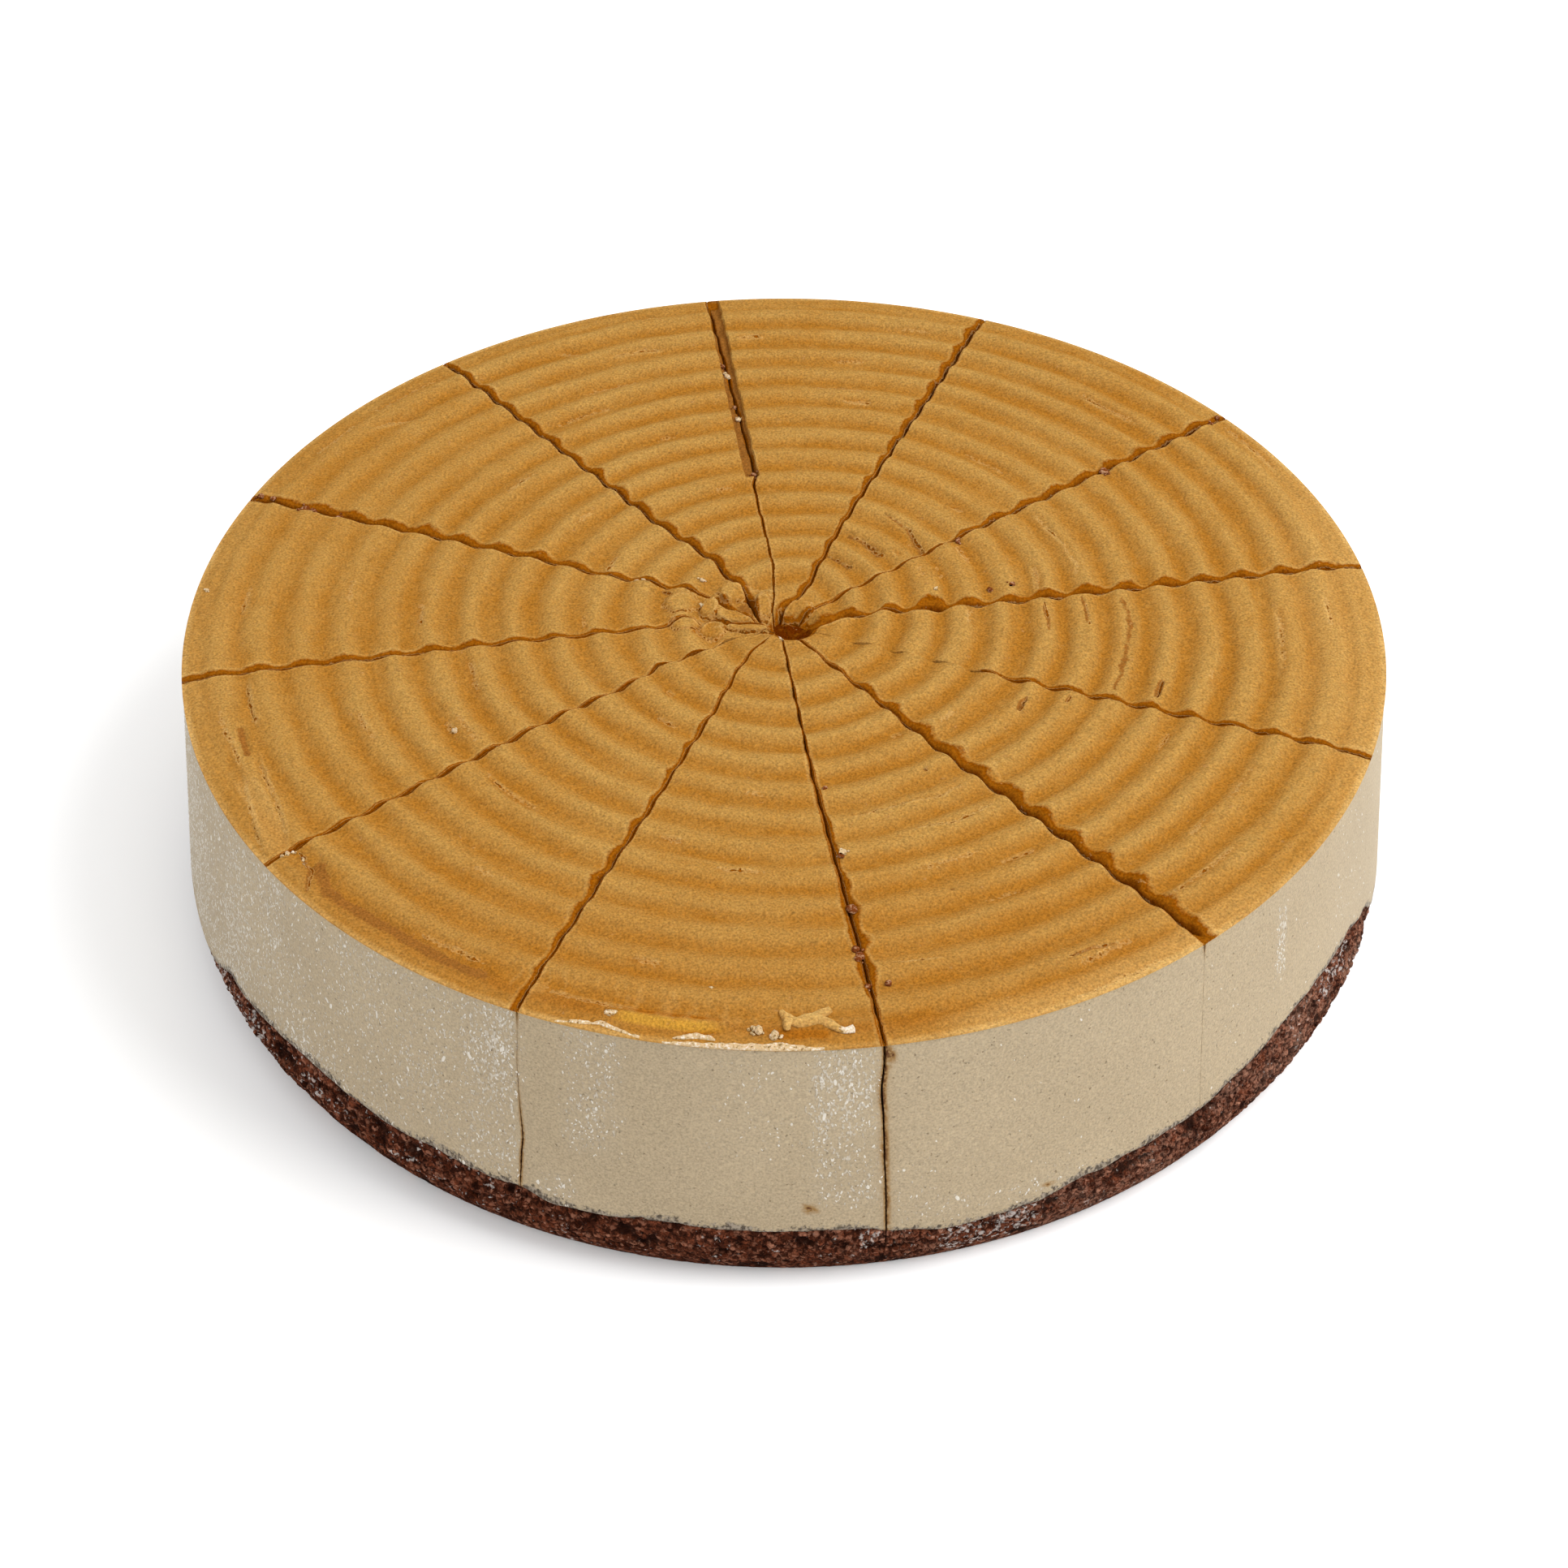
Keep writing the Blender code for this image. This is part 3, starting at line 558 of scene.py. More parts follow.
def share_steps(count, crowding):
    """Shares from 0 to 1, closer together at both ends."""
    even = np.linspace(0, 1, count + 1)
    return even - crowding * np.sin(2 * np.pi * even) / (2 * np.pi)


# ---------------------------------------------------------------- the combed cream

def distance_to_path(x, y, path):
    """Distance from each point to a bent line, which side it is on, and how far along it is."""
    path = np.array(path)
    nearest = np.full(x.shape, np.inf)
    side = np.zeros(x.shape)
    along = np.zeros(x.shape)
    total = np.linalg.norm(np.diff(path, axis=0), axis=1).sum()
    done = 0.0
    for start, end in zip(path, path[1:]):
        way = end - start
        length = np.linalg.norm(way)
        share = ((x - start[0]) * way[0] + (y - start[1]) * way[1]) / length ** 2
        held = np.clip(share, 0, 1)
        gap_x, gap_y = x - start[0] - held * way[0], y - start[1] - held * way[1]
        distance = np.hypot(gap_x, gap_y)
        closer = distance < nearest
        nearest = np.where(closer, distance, nearest)
        side = np.where(closer, np.sign(way[0] * gap_y - way[1] * gap_x), side)
        along = np.where(closer, (done + held * length) / total, along)
        done += length
    return nearest, side, along


def band_height(edge):
    """The flat band round the combing, by the distance from the cake's edge."""
    return RIM_HEIGHT + (VALLEY_HEIGHT + 0.12 - RIM_HEIGHT) * smooth(0, 2.6, edge)


def uneven(top, size, stream, octaves=2, layer=0.0):
    """Noise over the cream's plan; every stream and layer has its own."""
    return rough(top.x, top.y, layer, size, SEED + stream, octaves)


def comb(top, piece):
    """The comb's ridges and grooves, and the fine streaks that it dragged along them."""
    start, sweep = slice_sweep(piece)
    along = np.radians(turned(np.degrees(top.angle), start + sweep / 2)) * top.radius
    stray = 0.5 * uneven(top, 26.0, 0) + 0.25 * uneven(top, 9.0, 20)
    ring = nominal_ring(top.radius, top.angle) - wander(piece, top.angle) - stray
    top.ring = (ring - FIRST_VALLEY) / RIDGE_PITCH
    turn = 2 * np.pi * top.ring
    turn = turn + 0.5 * uneven(top, 15.0, 21, layer=0.5) * np.sin(turn)
    wave = CREST_FLATNESS - np.cos(turn) - CREST_FLATNESS * np.cos(2 * turn)
    amount = RIDGE_STRENGTH + 0.3 * uneven(top, 30.0, 1, layer=3.0)
    amount *= 1 - 0.3 * smooth(*WORN_LEFT, -top.x)
    combed = smooth(*FLAT_BAND[::-1], top.radius + 1.6 * uneven(top, 12.0, 22, layer=4.0))
    amount *= smooth(*COMBED_FROM, top.radius) * combed
    middle = (CREST_HEIGHT + VALLEY_HEIGHT) / 2 - 0.06
    top.height = middle + (CREST_HEIGHT - VALLEY_HEIGHT) / 2 * wave * amount
    top.height += (band_height(RIM_RADIUS - top.radius) - top.height) * (1 - combed)
    long, wide = STREAK_SIZE
    streak = rough(along / long, ring / wide, piece * 3.1, 1.0, SEED + 2) * smooth(9, 20, top.radius)
    top.height += 0.10 * streak
    for depth, size, stream, octaves, layer in FINE_RELIEF:
        top.height += depth * uneven(top, size, stream, octaves, piece * layer)
    # The crests and raised streaks are painted paler and the grooves darker: partly the cream's own colour,
    # partly painted shade.
    top.crest = 0.5 + 0.5 * wave * amount * combed + 0.22 * streak
    top.crest += 0.12 * uneven(top, 28.0, 28, layer=6.0)


def tear(top, piece):
    """Short torn lines along the rings: a low step with painted shade in it, a thin dark line of painted
    shade and a lip with a painted highlight.
    """
    draw = np.random.default_rng(SEED + 100 + piece)
    start, sweep = slice_sweep(piece)
    degrees = turned(np.degrees(top.angle), start)
    for _ in range(TEARS_PER_SLICE):
        ring = draw.uniform(*TEAR_RINGS)
        length = draw.uniform(*TEAR_SWEEPS)
        first = draw.uniform(0, max(1, sweep - length))
        deep = draw.uniform(0.5, 1.2)
        ends = window((degrees - first) / length, 0, 0.25, 0.75, 1)
        across = (top.ring - ring) * RIDGE_PITCH + 0.5 * uneven(top, 5.0, 23, 3, ring)
        low = bell(across, np.where(across > 0, 1.1, 0.2)) * ends
        top.height -= TEAR_DEPTH * deep * low
        # A dark line of painted shade along the tear, painted shade in its low step and a painted highlight
        # on its lip.
        torn = (0.28 + 0.14 * deep) * ends * (1 - np.abs(across - 0.1) / 0.9)
        top.crack = np.maximum(top.crack, torn)
        top.dark += 0.35 * deep * low
        top.pale += 0.22 * deep * bell(across + 0.5, 0.35) * ends


def raise_to(layer, near, value):
    """Take a painted value where it is stronger than what is there already."""
    layer[near] = np.maximum(layer[near], value)


def draw_crack(top, near, line, width, depth, tone):
    """A dark line of painted shade, widest at its middle, in brownish cream."""
    top.height[near] -= depth * bell(line.distance, 0.5 * width) * line.ends
    taper = 0.15 + 0.85 * np.sqrt(np.clip(np.sin(np.pi * line.along), 0, 1))
    reach = line.distance / (width * taper)
    raise_to(top.brown, near, 0.50 + 0.25 * tone - 0.45 * reach)
    # The dark line of painted shade.
    raise_to(top.crack, near, 0.45 + 0.30 * tone - 0.45 * np.abs(line.side * reach - 0.35) / 0.35)


def draw_step(top, near, line, width, depth, tone):
    """A step that is steep on its right, where the cream stands higher, with painted shade where it drops,
    a painted highlight on its lip and a dark line of painted shade along it.
    """
    low = bell(line.distance, np.where(line.side > 0, width, 0.25 * width)) * line.ends
    lip = bell(line.distance - 0.5 * width, 0.3 * width) * (line.side < 0) * line.ends
    top.height[near] += 0.12 * lip - depth * low
    # Painted shade where it drops, a painted highlight on the lip, and a dark line of painted shade.
    top.dark[near] += 0.3 * tone * low
    top.pale[near] += 0.3 * lip
    raise_to(top.crack, near, (0.32 + 0.3 * tone) * line.ends - 0.45 * line.distance / 0.7)


def draw_stroke(top, near, line, width, depth, tone):
    """A brown groove that widens towards its end, with a dark line of painted shade in it."""
    grown = line.distance / (width * (0.1 + 0.9 * np.sqrt(line.along)))
    top.height[near] -= depth * bell(grown, 1) * smooth(1, 0.9, line.along)
    raise_to(top.brown, near, 0.45 + 0.25 * tone - 0.4 * grown)
    # A dark line of painted shade in the groove.
    sharp = 0.50 + 0.30 * tone * line.along - 0.45 * np.abs(line.side * grown - 0.4) / 0.4
    raise_to(top.crack, near, sharp)


def draw_sheet(top, near, line, width, depth, tone):
    """Paler cream that lies on top."""
    top.height[near] += depth * smooth(width + 0.15, width - 0.15, line.distance) * line.ends
    top.pale[near] += tone * smooth(width + 0.15, width - 0.5, line.distance) * line.ends


def draw_shade(top, near, line, width, depth, tone):
    """A soft painted shadow, with no depth."""
    top.dark[near] += tone * bell(line.distance, 0.6 * width) * line.ends


def draw_low(top, near, line, width, depth, tone):
    """A flat brownish place."""
    top.height[near] -= depth * smooth(width + 0.3, width - 0.3, line.distance)
    raise_to(top.brown, near, 0.5 + 0.5 * tone - 0.5 * line.distance / width)


def draw_high(top, near, line, width, depth, tone):
    """A pale flake that stands up."""
    top.height[near] += depth * smooth(width + 0.3, width - 0.3, line.distance)
    raise_to(top.flake, near, 0.5 + 0.5 * tone - 0.5 * line.distance / width)


DRAW = {
    "crack": draw_crack, "step": draw_step, "stroke": draw_stroke, "sheet": draw_sheet,
    "shade": draw_shade, "low": draw_low, "high": draw_high,
}


def mark(top, kind, path, width, depth, tone):
    """One mark on the cream, worked out only near its path."""
    margin = 3 * width + 1
    low_x, low_y = np.min(path, axis=0) - margin
    high_x, high_y = np.max(path, axis=0) + margin
    near = (top.x > low_x) & (top.x < high_x) & (top.y > low_y) & (top.y < high_y)
    if near.any():
        x, y = top.x[near], top.y[near]
        stray = 0.35 * rough(x, y, 0, 2.2, SEED + 5)
        distance, side, along = distance_to_path(x + stray, y - stray, path)
        ends = 0.25 + 0.75 * window(along, 0, 0.18, 0.82, 1)
        line = SimpleNamespace(distance=distance, side=side, along=along, ends=ends)
        DRAW[kind](top, near, line, width, depth, tone)


def add_lump(top, stray, x, y, long, short, turn, rise):
    """One lump torn loose round the hole, with a painted highlight near its top edge, painted shade round
    its foot, darkest at its front, and a dark line of painted shade round it.
    """
    turn = math.radians(turn)
    right = (top.x - x) * math.cos(turn) + (top.y - y) * math.sin(turn)
    up = (top.y - y) * math.cos(turn) - (top.x - x) * math.sin(turn)
    reach = (np.abs(right / long) ** 3 + np.abs(up / short) ** 3) ** (1 / 3) + 0.30 * stray
    top.height += rise * smooth(1.12, 0.76, reach)
    front = smooth(1.0, -1.0, top.y - y)
    # A painted highlight near the top edge, painted shade round the foot, darkest at the front, and a dark
    # line of painted shade round it.
    top.pale += (0.25 - 0.1 * front) * bell(reach - 0.72, 0.12)
    top.dark += (0.1 + 0.4 * front) * bell(reach - 1.04, 0.12)
    torn = (0.40 + 0.10 * front) * (1 - np.abs(reach - 1.04) * short / 0.5)
    top.crack = np.maximum(top.crack, torn)


def tear_centre(top):
    """The torn cream round the hole: broken lumps behind it and left of it, sloping down into it, with
    painted shade where it slopes.
    """
    from_x, from_y = top.x - HOLE_CENTRE[0], top.y - HOLE_CENTRE[1]
    radius = np.hypot(from_x, from_y)
    degrees = np.degrees(np.arctan2(from_y, from_x)) % 360
    out = radius - table_at(HOLE_OUTLINE, degrees)
    stray = uneven(top, 2.6, 36, layer=4.0)
    top.height -= TORN_DROP * smooth(*TORN_REACH, radius) * window(degrees, *TORN_SECTOR)
    for lump in TORN_LUMPS:
        add_lump(top, stray, *lump)
    slope = window(degrees, *SLOPE_SECTOR)
    top.height -= SLOPE_DROP * smooth(4.0, 0, out + 0.8 * stray) * slope
    # The slope down into the hole is painted orange to dark: painted shade.
    top.slope = np.maximum(top.slope, 0.75 * smooth(2.2, 0, out + 1.2 * stray) * slope)
    top.height -= 0.5 * smooth(1.2, 0, out)
    top.slope = np.maximum(top.slope, 0.6 * smooth(0.9, 0, out))


def round_edges(top, piece, to_first, to_second):
    """The cream's edges along the two cuts: dragged down and painted orange to dark on one side, partly the
    cut cream's colour and partly painted shade; crisp on the other.
    """
    before, after = cuts_of(piece)
    for cut, distance, entry in ((before, to_first, 3), (after, to_second, 2)):
        looks = cut_looks(cut, top.radius)
        gap, width = looks[1], looks[entry]
        width = width * (1 + 0.5 * uneven(top, 3.2, 6, layer=cut * 4.4))
        wavy = 0.7 * smooth(0.4, 1.4, width)
        width = width * (1 - 0.5 * wavy + wavy * np.clip(top.crest, 0, 1))
        share = np.clip(1 - distance / np.maximum(width, 0.05), 0, 1)
        top.height -= EDGE_DROP * width * (1 - np.sqrt(1 - share ** 2 * 0.98))
        # The sloping side is painted orange to dark: partly the cut cream's colour, partly painted shade.
        top.slope = np.maximum(top.slope, share * smooth(0.15, 0.55, width))
        # A painted highlight just beyond the rounding.
        lip = bell(distance - width - 0.2, 0.35) * smooth(0.05, 0.3, width)
        top.pale += 0.16 * lip * (1 + uneven(top, 5.0, 24, layer=cut))
        # A narrow cut gets a thin dark line of painted shade along both its sides.
        none, some, full, wide = SEAM_WIDTHS
        seam = smooth(none, some, gap) * (1 - 0.5 * smooth(full, wide, gap))
        top.crack = np.maximum(top.crack, 0.95 * seam * (1 - distance / SEAM_REACH))


def scrape(top, piece):
    """The strip scraped out beside the cut at the back."""
    if SCRAPED_CUT not in cuts_of(piece):
        return
    distance = distance_to_path(top.x, top.y, cut_line(SCRAPED_CUT)[0][::8])[0]
    distance += 0.3 * uneven(top, 3.0, 25, layer=8.0)
    form = smooth(SCRAPED_HALF_WIDTH + 0.25, SCRAPED_HALF_WIDTH - 0.15, distance)
    form = form * smooth(SCRAPED_FROM, SCRAPED_FROM + 0.8, top.radius)
    bits = uneven(top, 1.6, 9, layer=2.0)
    top.height -= form * (SCRAPED_DEPTH + 0.3 * bits)
    top.crack *= 1 - form
    top.brown += form * (0.75 + 0.3 * bits)


def finish_rim(top):
    """The edge: a thin yellower line, the bands at the front, and short wavy streaks of the tool."""
    edge = RIM_RADIUS - top.radius
    degrees = np.degrees(top.angle) % 360
    top.pale += smooth(1.6, 0.3, edge) * (0.3 + 0.3 * uneven(top, 7.0, 7, layer=1.0))
    stray = 1 + 0.6 * uneven(top, 9.0, 26, layer=5.0)
    top.dark += 0.30 * window(degrees, *ORANGE_BAND) * stray * bell(edge - BAND_IN, 1.7)
    strip = window(degrees, *GOLD_STRIP)
    top.dark -= 0.35 * strip * bell(edge - STRIP_IN - 0.2, 1.1)
    top.gold = strip * smooth(1.4, 0.7, np.abs(edge - STRIP_IN + 0.3 * stray))
    top.height += 0.25 * strip * bell(edge - STRIP_IN, 0.9)
    top.dark += 0.8 * strip * bell(edge - STRIP_IN - 1.8, 0.5)
    streaks = rough(degrees * 2.2 + 0.5 * np.sin(edge * 1.3), edge / 6.0, 0.0, 1.0, SEED + 29)
    waved = window(degrees, *TOOL_STREAKS) * window(edge, 3, 6, 10, 14)
    top.height += 0.14 * waved * streaks
    top.pale += 0.16 * waved * smooth(0.0, 0.5, streaks)
    top.dark += 0.14 * smooth(60, 105, -top.y)
    top.pale += 0.22 * smooth(88, 116, top.x) + 0.12 * smooth(95, 118, -top.x)
    top.pale += 0.28 * window(degrees, *YELLOW_RIM) * smooth(8.0, 2.0, edge)


def slice_grid(piece):
    """The plan of one slice's cream: rows go out from the hole, columns from cut to cut."""
    before, after = cuts_of(piece)
    first, second = cut_wall(before, 1), cut_wall(after, -1)
    share = np.linspace(0, 1, ROWS + 1)[:, None]
    centre = HOLE_CENTRE * (1 - smooth(0, 0.35, share))
    columns = share_steps(COLUMNS, COLUMN_CROWDING)
    from_first, from_second = first - centre, second - centre
    start = np.arctan2(from_first[:, 1], from_first[:, 0])[:, None]
    sweep = (np.arctan2(from_second[:, 1], from_second[:, 0])[:, None] - start) % (2 * np.pi)
    near, far = np.hypot(*from_first.T)[:, None], np.hypot(*from_second.T)[:, None]
    plan = centre[:, None] + polar(near + (far - near) * columns, start + sweep * columns)
    to_first = np.hypot(*(plan - first[:, None]).T).T
    to_second = np.hypot(*(plan - second[:, None]).T).T
    return plan[..., 0], plan[..., 1], to_first, to_second


def cream_walls(piece, edge, tones):
    """The levels below a slice's outline, down its cuts, the hole and the cake's edge, with tones."""
    before, after = cuts_of(piece)
    first_rows = slice(0, ROWS + 1)
    rim = slice(ROWS + 1, ROWS + COLUMNS)
    second_rows = slice(ROWS + COLUMNS, 2 * ROWS + COLUMNS + 1)
    tips = np.concatenate(([0], np.arange(2 * ROWS + COLUMNS, len(edge))))
    out = np.hypot(edge[:, 0], edge[:, 1])
    under = CREAM_UNDER + (EDGE_UNDER - CREAM_UNDER) * smooth(THIN_EDGE_RADIUS, RIM_RADIUS, out)
    thick = edge[:, 2] - under
    in_hole = smooth(*HOLE_WALL, np.hypot(*(edge[:, :2] - HOLE_CENTRE).T))
    shown = np.ones(len(edge))
    for cut, rows in ((before, first_rows), (after, second_rows)):
        shown[rows] = smooth(HIDDEN_GAP, 2 * HIDDEN_GAP, cut_looks(cut, out[rows])[1])
    for share in WALL_LEVELS:
        level = edge.copy()
        level[:, 2] -= thick * share
        closing = smooth(0, np.minimum(CLOSING_DEPTH, 0.95 * thick), thick * share)
        level[first_rows, :2] = cut_wall(before, 1, closing[first_rows])
        level[second_rows, :2] = cut_wall(after, -1, closing[second_rows][::-1])[::-1]
        narrow = 1 - table_at(HOLE_NARROWING, share)
        level[tips, :2] = HOLE_CENTRE + (level[tips, :2] - HOLE_CENTRE) * narrow
        tone = tones.copy()
        tone[:, [CRACK, FLAKE]] = 0
        tone[:, PALE] *= 1 - in_hole
        # Open cuts' walls are painted darker further down, and the hole's walls darker nearer its middle:
        # painted shade.
        tone[:, SLOPE] = np.maximum((0.30 + 0.25 * closing) * shown, in_hole * (0.6 + 2 * share))
        tone[rim] = tones[rim]
        yield level, tone


def cream_top(piece):
    """The surface of one slice's cream, with its tones."""
    x, y, to_first, to_second = slice_grid(piece)
    top = SimpleNamespace(x=x, y=y, radius=np.hypot(x, y), angle=np.arctan2(y, x))
    top.dark, top.pale, top.brown, top.crack, top.slope, top.flake = (np.zeros(x.shape) for _ in range(6))
    comb(top, piece)
    tear(top, piece)
    tear_centre(top)
    finish_rim(top)
    round_edges(top, piece, to_first, to_second)
    scrape(top, piece)
    for entry in MARKS:
        mark(top, *entry)
    top.height = np.minimum(top.height, TALLEST)
    top.height[-1] = RIM_HEIGHT
    top.tones = np.stack((top.crest, top.dark, top.pale, top.brown,
                          top.crack, top.slope, top.flake, 0.5 * top.gold), axis=-1)
    return top


def cream_slice(piece, top, material):
    """One slice's cream: its top, its walls and its flat underside."""
    index = np.arange(top.x.size).reshape(top.x.shape)
    loop = np.concatenate((index[:, 0], index[-1, 1:-1], index[::-1, -1], index[0, -2:0:-1]))
    surface = np.stack((top.x, top.y, top.height), axis=-1).reshape(-1, 3)
    tones = top.tones.reshape(-1, 8)
    points, colours, levels = [surface], [tones], [loop]
    for level, tone in cream_walls(piece, surface[loop], tones[loop]):
        levels.append(sum(map(len, points)) + np.arange(len(loop)))
        points.append(level)
        colours.append(tone)
    faces = grid_faces(index) + skirt_faces(np.array(levels))
    faces += cap_faces(levels[-1].tolist(), ROWS + 1, COLUMNS - 1, upward=False)
    slice_object("cream", "chestnut", piece, np.concatenate(points), faces, material,
                 np.concatenate(colours))


# ---------------------------------------------------------------- loose bits on the cream

def height_at(tops, x, y):
    """The cream's height at a plan point."""
    nearest, height = np.inf, RIM_HEIGHT
    for top in tops:
        gap = (top.x - x) ** 2 + (top.y - y) ** 2
        place = np.unravel_index(np.argmin(gap), gap.shape)
        if gap[place] < nearest:
            nearest, height = gap[place], top.height[place]
    return height


def ball(subdivisions):
    """The points and faces of a small ball of radius 1."""
    bm = bmesh.new()
    bmesh.ops.create_icosphere(bm, subdivisions=subdivisions, radius=1.0)
    points = np.array([vertex.co[:] for vertex in bm.verts])
    faces = np.array([[vertex.index for vertex in face.verts] for face in bm.faces])
    bm.free()
    return points, faces


def join(shapes):
    """Points and faces of several shapes as one."""
    points, faces, count = [], [], 0
    for shape_points, shape_faces in shapes:
        points.append(shape_points)
        faces += [[number + count for number in face] for face in shape_faces]
        count += len(shape_points)
    return np.concatenate(points), faces


def lumps(bits, tops, seed):
    """Uneven lumps lying on the cream: a large one and some crumbs beside it for each bit."""
    draw = np.random.default_rng(seed)
    base, faces = ball(2)
    shapes = []
    for x, y, size in bits:
        spread = [(x, y, size)]
        for _ in range(draw.integers(1, 4)):
            away = draw.uniform(0.6, 1.6) * size
            turn = draw.uniform(0, 2 * np.pi)
            place = (x + away * np.cos(turn), y + away * np.sin(turn))
            spread.append((*place, size * draw.uniform(0.25, 0.5)))
        for place_x, place_y, radius in spread:
            stretch = BIT_SCALE * radius * draw.uniform(0.7, 1.15, 3) * (1, 1, 0.75)
            bumps = 1 + 0.38 * rough(*(base * 1.4 + draw.uniform(0, 99, 3)).T, 1.0, seed)
            turn = draw.uniform(0, 2 * np.pi)
            spin = np.array(((np.cos(turn), -np.sin(turn), 0), (np.sin(turn), np.cos(turn), 0), (0, 0, 1)))
            points = (base * bumps[:, None] * stretch) @ spin.T
            points += (place_x, place_y, height_at(tops, place_x, place_y) + 0.3 * radius)
            points[:, 2] = np.minimum(points[:, 2], TALLEST)
            shapes.append((points, faces.tolist()))
    return join(shapes)


def even_tones(count, crest=1.0, pale=0.0, flake=0.0):
    """The same tones for every point of a loose piece of cream."""
    tones = np.zeros((count, 8))
    tones[:, [CREST, PALE, FLAKE]] = crest, pale, flake
    return tones


def crust_flake(stations):
    """One thin closed flake on the edge, with a ragged inner border."""
    angles, outer, inner = np.array(stations).T
    across = np.linspace(0, 1, 11)
    degrees = np.arange(angles[0], angles[-1], 0.12)[:, None]
    around = np.radians(degrees) * RIM_RADIUS
    ragged = 0.5 * rough(around, 0, 3.0, 1.8, SEED + 40, 3)
    start = np.interp(degrees, angles, outer)
    end = np.maximum(np.interp(degrees, angles, inner) + ragged, start + 0.1)
    edge = start + (end - start) * across
    raised = 0.22 + 0.30 * rough(around + 0 * edge, edge, 0, 0.9, SEED + 41)
    bulge = np.sin(np.pi * across) ** 0.6 * np.minimum(1, end - start)
    plan = polar(RIM_RADIUS - edge, np.radians(degrees))
    upper = band_height(edge) + 0.03 + bulge * raised
    lower = band_height(edge) - 0.3 + 0 * upper
    points = np.concatenate([np.concatenate((plan, z[..., None]), axis=-1).reshape(-1, 3)
                             for z in (upper, lower)])
    count = len(points) // 2
    index = np.arange(count).reshape(plan.shape[:2])
    loop = np.concatenate((index[:, 0], index[-1, 1:], index[-2::-1, -1], index[0, -2:0:-1]))
    faces = [face[::-1] for face in grid_faces(index)] + grid_faces(index + count)
    faces += [face[::-1] for face in skirt_faces(np.stack((loop, loop + count)))]
    return points, faces


def rim_crust(material):
    """The torn pale crust on the front edge."""
    points, faces = join([crust_flake(stations) for stations in RIM_CRUST])
    tones = even_tones(len(points), crest=0.9, pale=0.4, flake=0.72)
    add_object("rim_crust", points, faces, material, tones)


def curl_string(path, widths, tops):
    """One flattened string of the curl, with its tones: painted shade on its front side and a painted
    highlight behind; its ends take a taper.
    """
    sides = np.linspace(0, 2 * np.pi, CURL_SIDES + 1)[:-1]
    count = int(np.linalg.norm(np.diff(path, axis=0), axis=1).sum() / CURL_STEP)
    line = through(path, count)
    width = through(np.array(widths)[:, None], count)[:, 0]
    width = width * (1 + 0.15 * rough(line[:, 0], line[:, 1], 0, 1.6, SEED + 42))
    width[[0, -1]] = CURL_TIP
    way = np.gradient(line, axis=0)
    way /= np.linalg.norm(way, axis=1)[:, None]
    aside = np.stack((-way[:, 1], way[:, 0]), axis=-1)
    plan = line[:, None] + aside[:, None] * (width[:, None] * np.cos(sides))[..., None]
    tall = np.minimum(0.62 * width, CURL_HALF_HEIGHT)[:, None] * np.sin(sides)
    tall += 0.05 * rough(plan[..., 0], plan[..., 1], 2.0, 1.2, SEED + 43)
    height = np.minimum(height_at(tops, *line[count // 2]) + CURL_RISE + tall, TALLEST)
    points = np.concatenate((plan, height[..., None]), axis=-1).reshape(-1, 3)
    index = np.arange(len(points)).reshape(count, CURL_SIDES)
    faces = skirt_faces(index) + [index[0].tolist(), index[-1, ::-1].tolist()]
    tones = even_tones(len(points))
    # Painted shade on the front side and a painted highlight behind.
    front = np.tile(-np.cos(sides), count)
    tones[:, DARK] = 0.45 * smooth(0.3, 1.0, front)
    tones[:, PALE] = 0.38 + 0.22 * smooth(0.4, -0.8, front)
    tones[:, FLAKE] = 0.9 * smooth(*CURL_WHITE, points[:, 0])
    return points, faces, tones


def through(stations, count):
    """Points on a smooth curve through stations (a Catmull-Rom spline)."""
    stations = np.array(stations, float)
    held = np.concatenate((stations[:1] * 2 - stations[1:2], stations, stations[-1:] * 2 - stations[-2:-1]))
    places = np.linspace(0, len(stations) - 1, count)
    first = np.minimum(places.astype(int), len(stations) - 2)
    part = (places - first)[:, None]
    before, start, end, after = (held[first + step] for step in range(4))
    return 0.5 * (2 * start + (end - before) * part + (2 * before - 5 * start + 4 * end - after) * part ** 2
                  + (3 * start - before - 3 * end + after) * part ** 3)


def curl(tops, material):
    """The curl of paler cream on the front edge: a forked string."""
    strings = [curl_string(path, widths, tops) for path, widths in CURL]
    points, faces = join([string[:2] for string in strings])
    tones = np.concatenate([string[2] for string in strings])
    add_object("cream_curl", points, faces, material, tones)


def add_bits(tops, cream, crumb):
    """Crumbs of sponge and of pale cream on the top, the crust on the front edge, and the curl."""
    points, faces = lumps(BROWN_CRUMBS, tops, SEED + 50)
    add_object("sponge_crumbs", points, faces, crumb)
    points, faces = lumps(PALE_BITS, tops, SEED + 51)
    tones = even_tones(len(points), pale=0.66, flake=0.7)
    add_object("pale_bits", points, faces, cream, tones)
    rim_crust(cream)
    curl(tops, cream)


# ---------------------------------------------------------------- mousse and sponge

